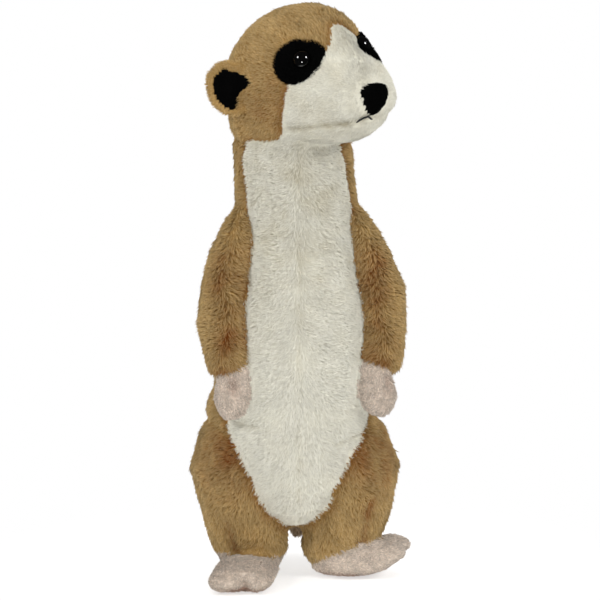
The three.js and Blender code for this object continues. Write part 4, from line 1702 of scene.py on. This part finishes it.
@dataclass
class Studio:
    """A pale floor, soft lamps and the camera."""

    target: tuple[float, float, float] = (-0.0011, -0.0044, 0.147)
    distance: float = 1.1
    elevation: float = 6.0
    lens: float = 125.7
    sensor: float = 36.0
    floor_radius: float = 0.9
    floor_fade: tuple[float, float] = (0.06, 0.2)
    backdrop: float = 1.0
    ambient: float = 0.57  # the even light of the room
    bounce: float = 0.9  # the light that comes back from the white table
    mirrored: float = 0.02  # what shiny things see of the room
    glow: float = 0.35  # of the lit table around the toy
    lamps: tuple[Lamp, ...] = (
        Lamp("key left", 57, 32, 1.3, 0.32, 5.7),
        Lamp("key right", -57, 32, 1.3, 0.32, 4.9),
        Lamp("over the camera", 0, 72, 1.2, 0.7, 2.0, mirrored=False),
        Lamp("low front", 0, -14, 0.5, 0.07, 0.5),
        Lamp("behind left", 145, 30, 1.3, 0.8, 3.2, mirrored=False),
        Lamp("behind right", -145, 30, 1.3, 0.8, 3.2, mirrored=False),
    )

    def camera(self) -> None:
        """Sets the camera up in front of the toy."""
        data = bpy.data.cameras.new("camera")
        data.lens = self.lens
        data.sensor_width = self.sensor
        data.clip_start = 0.05
        camera = bpy.data.objects.new("camera", data)
        lean = math.radians(self.elevation)
        offset = Vector((0, -math.cos(lean), math.sin(lean))) * self.distance
        camera.location = Vector(self.target) + offset
        camera.rotation_euler = (math.pi / 2 - lean, 0, 0)
        bpy.context.scene.collection.objects.link(camera)
        bpy.context.scene.camera = camera

    def lights(self) -> None:
        """Hangs the lamps and sets the even light of the room."""
        for lamp in self.lamps:
            data = bpy.data.lights.new(lamp.name, "AREA")
            data.size = lamp.size
            data.energy = lamp.watts
            light = bpy.data.objects.new(lamp.name, data)
            azimuth, elevation = math.radians(lamp.azimuth), math.radians(lamp.elevation)
            way = Vector((
                math.sin(azimuth) * math.cos(elevation),
                -math.cos(azimuth) * math.cos(elevation),
                math.sin(elevation),
            ))
            light.location = Vector(self.target) + way * lamp.distance
            light.rotation_euler = way.to_track_quat("Z", "Y").to_euler()
            light.visible_camera = False
            light.visible_glossy = lamp.mirrored
            bpy.context.scene.collection.objects.link(light)
        world = bpy.data.worlds.new("room")
        bpy.context.scene.world = world
        world.use_nodes = True
        tree = world.node_tree
        tree.nodes.clear()
        way = add_node(tree, "ShaderNodeTexCoord")
        height = add_node(tree, "ShaderNodeSeparateXYZ", links={0: way.outputs["Generated"]})
        level = add_node(
            tree,
            "ShaderNodeMapRange",
            values={"From Min": -0.3, "From Max": 0.1, "To Min": self.bounce, "To Max": self.ambient},
            links={"Value": height.outputs["Z"]},
        )
        room = add_node(tree, "ShaderNodeBackground", links={"Strength": level.outputs["Result"]})
        seen = add_node(tree, "ShaderNodeBackground", values={"Strength": self.backdrop})
        mirrored = add_node(tree, "ShaderNodeBackground", values={"Strength": self.mirrored})
        for background in (seen, room, mirrored):
            background.inputs["Color"].default_value = (1, 1, 1, 1)
        path = add_node(tree, "ShaderNodeLightPath")
        unseen = add_node(
            tree,
            "ShaderNodeMixShader",
            links={0: path.outputs["Is Glossy Ray"], 1: room.outputs[0], 2: mirrored.outputs[0]},
        )
        mix = add_node(
            tree,
            "ShaderNodeMixShader",
            links={0: path.outputs["Is Camera Ray"], 1: unseen.outputs[0], 2: seen.outputs[0]},
        )
        add_node(tree, "ShaderNodeOutputWorld", links={"Surface": mix.outputs[0]})

    def floor(self) -> None:
        """Lays the pale floor, which fades into the room."""
        mesh = bmesh.new()
        bmesh.ops.create_circle(mesh, cap_ends=True, segments=96, radius=self.floor_radius)
        data = bpy.data.meshes.new("floor")
        mesh.to_mesh(data)
        mesh.free()
        material, tree = new_material("matt white paper sweep")
        place = add_node(tree, "ShaderNodeTexCoord")
        reach = add_node(
            tree, "ShaderNodeVectorMath", {"operation": "LENGTH"}, links={0: place.outputs["Object"]}
        )
        fade = add_node(
            tree,
            "ShaderNodeMapRange",
            {"interpolation_type": "SMOOTHSTEP"},
            values={"From Min": self.floor_fade[0], "From Max": self.floor_fade[1], "To Min": 0.3},
            links={"Value": reach.outputs["Value"]},
        )
        fibres = add_node(
            tree,
            "ShaderNodeTexNoise",
            values={"Scale": 1 / (3 * MM), "Detail": 4.0},
            links={"Vector": place.outputs["Object"]},
        )
        tint = add_node(
            tree,
            "ShaderNodeMix",
            {"data_type": "RGBA"},
            values={"A": linear_rgba("#f2f2f1"), "B": linear_rgba("#f8f8f7")},
            links={"Factor": fibres.outputs["Fac"]},
        )
        paper = add_node(tree, "ShaderNodeBsdfDiffuse", links={"Color": tint.outputs["Result"]})
        glow = add_node(tree, "ShaderNodeEmission", values={"Strength": self.glow})
        lit = add_node(tree, "ShaderNodeAddShader", links={0: paper.outputs[0], 1: glow.outputs[0]})
        clear = add_node(tree, "ShaderNodeBsdfTransparent")
        mix = add_node(
            tree,
            "ShaderNodeMixShader",
            links={0: fade.outputs["Result"], 1: lit.outputs[0], 2: clear.outputs[0]},
        )
        add_node(tree, "ShaderNodeOutputMaterial", links={"Surface": mix.outputs[0]})
        data.materials.append(material)
        floor = bpy.data.objects.new("floor", data)
        bpy.context.scene.collection.objects.link(floor)

    def build(self) -> None:
        """Sets up the whole studio."""
        bpy.context.scene.view_settings.view_transform = "Standard"
        self.camera()
        self.lights()
        self.floor()


# ---- assembly --------------------------------------------------------------------------------------


def dress(panel: Panel, cloth: bpy.types.Object, pieces: Sequence[bpy.types.Object]) -> None:
    """Declares a panel's cloth and pile to the frame.

    Args:
        panel: the panel.
        cloth: its skin.
        pieces: its coat.
    """
    for piece in (cloth, *pieces):
        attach(piece, "root")
    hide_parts(panel.node)
    tufts = sum(len(piece.data.polygons) for piece in pieces) // 4
    LOG.info("%s: %d faces of cloth, %d tufts", panel.node, len(cloth.data.polygons), tufts)


def skin_tree_of(skin: Skin) -> BVHTree:
    """A search tree of the whole skin, in millimetres."""
    corners = skin.read("loops", "vertex_index", 1).reshape(-1, 4)
    return BVHTree.FromPolygons(skin.at.tolist(), corners.tolist())


def main() -> None:
    """Builds the toy and the studio."""
    logging.basicConfig(level=logging.INFO, format="%(relativeCreated)6.0f ms %(message)s")
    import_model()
    head = Head()
    parts: list[SubAssembly] = [
        head,
        Torso(),
        Arm(LEFT, dimple=(5, 2)),
        Arm(RIGHT, dimple=(1, 2)),
        Leg(
            LEFT,
            dart_x=6,
            dart_lean=0.14,
            dart_bottom=22,
            dart_top=44,
            toes=np.array([1.0, 0.0, 0.2]),
            notch=np.array([59.0, -1.0, 12.0]),
            hem=Hem(start=(2, 6.5), end=(42, 21.5), bow=2),
        ),
        Leg(
            RIGHT,
            dart_x=-1,
            dart_lean=-0.27,
            dart_bottom=16,
            dart_top=31,
            toes=np.array([-0.1, -1.0, -0.1]),
            notch=np.array([-29.6, -52.0, 3.5]),
            hem=Hem(start=(-46, 13), end=(-10, 11), bow=4.5),
        ),
        Tail(),
    ]
    finishes: dict[Cloth, PlushFinish] = {
        Cloth.TAN: TAN_PLUSH,
        Cloth.CREAM: CREAM_PLUSH,
        Cloth.BLACK: BLACK_PLUSH,
        Cloth.DARK: DARK_PLUSH,
        Cloth.VELOUR: VELOUR,
    }
    materials = {cloth: finish.material() for cloth, finish in finishes.items()}
    skin = Skin(parts)
    LOG.info("skin: %d vertices", len(skin.at))
    skin.comb(np.random.default_rng(SEED))
    tree = skin_tree_of(skin)
    cloths = skin.cut(materials)
    LOG.info("skin cut into %d panels", len(cloths))
    for i, panel in enumerate(skin.panels):
        coat = Coat(panel, cloths[panel.node], tree, i)
        dress(panel, cloths[panel.node], coat.build(materials[panel.cloth]))
    plastic = EYE_PLASTIC.material()
    for word in ("left", "right"):
        LOG.info("made %s", Eye(word).build(plastic).name)
    mouth = Embroidery("mouth_stitches", head.mouth())
    LOG.info("made %s", mouth.build(MOUTH_THREAD.material(), unit(head.forward - 0.6 * head.up)).name)
    Studio().build()


if __name__ == "__main__":
    main()
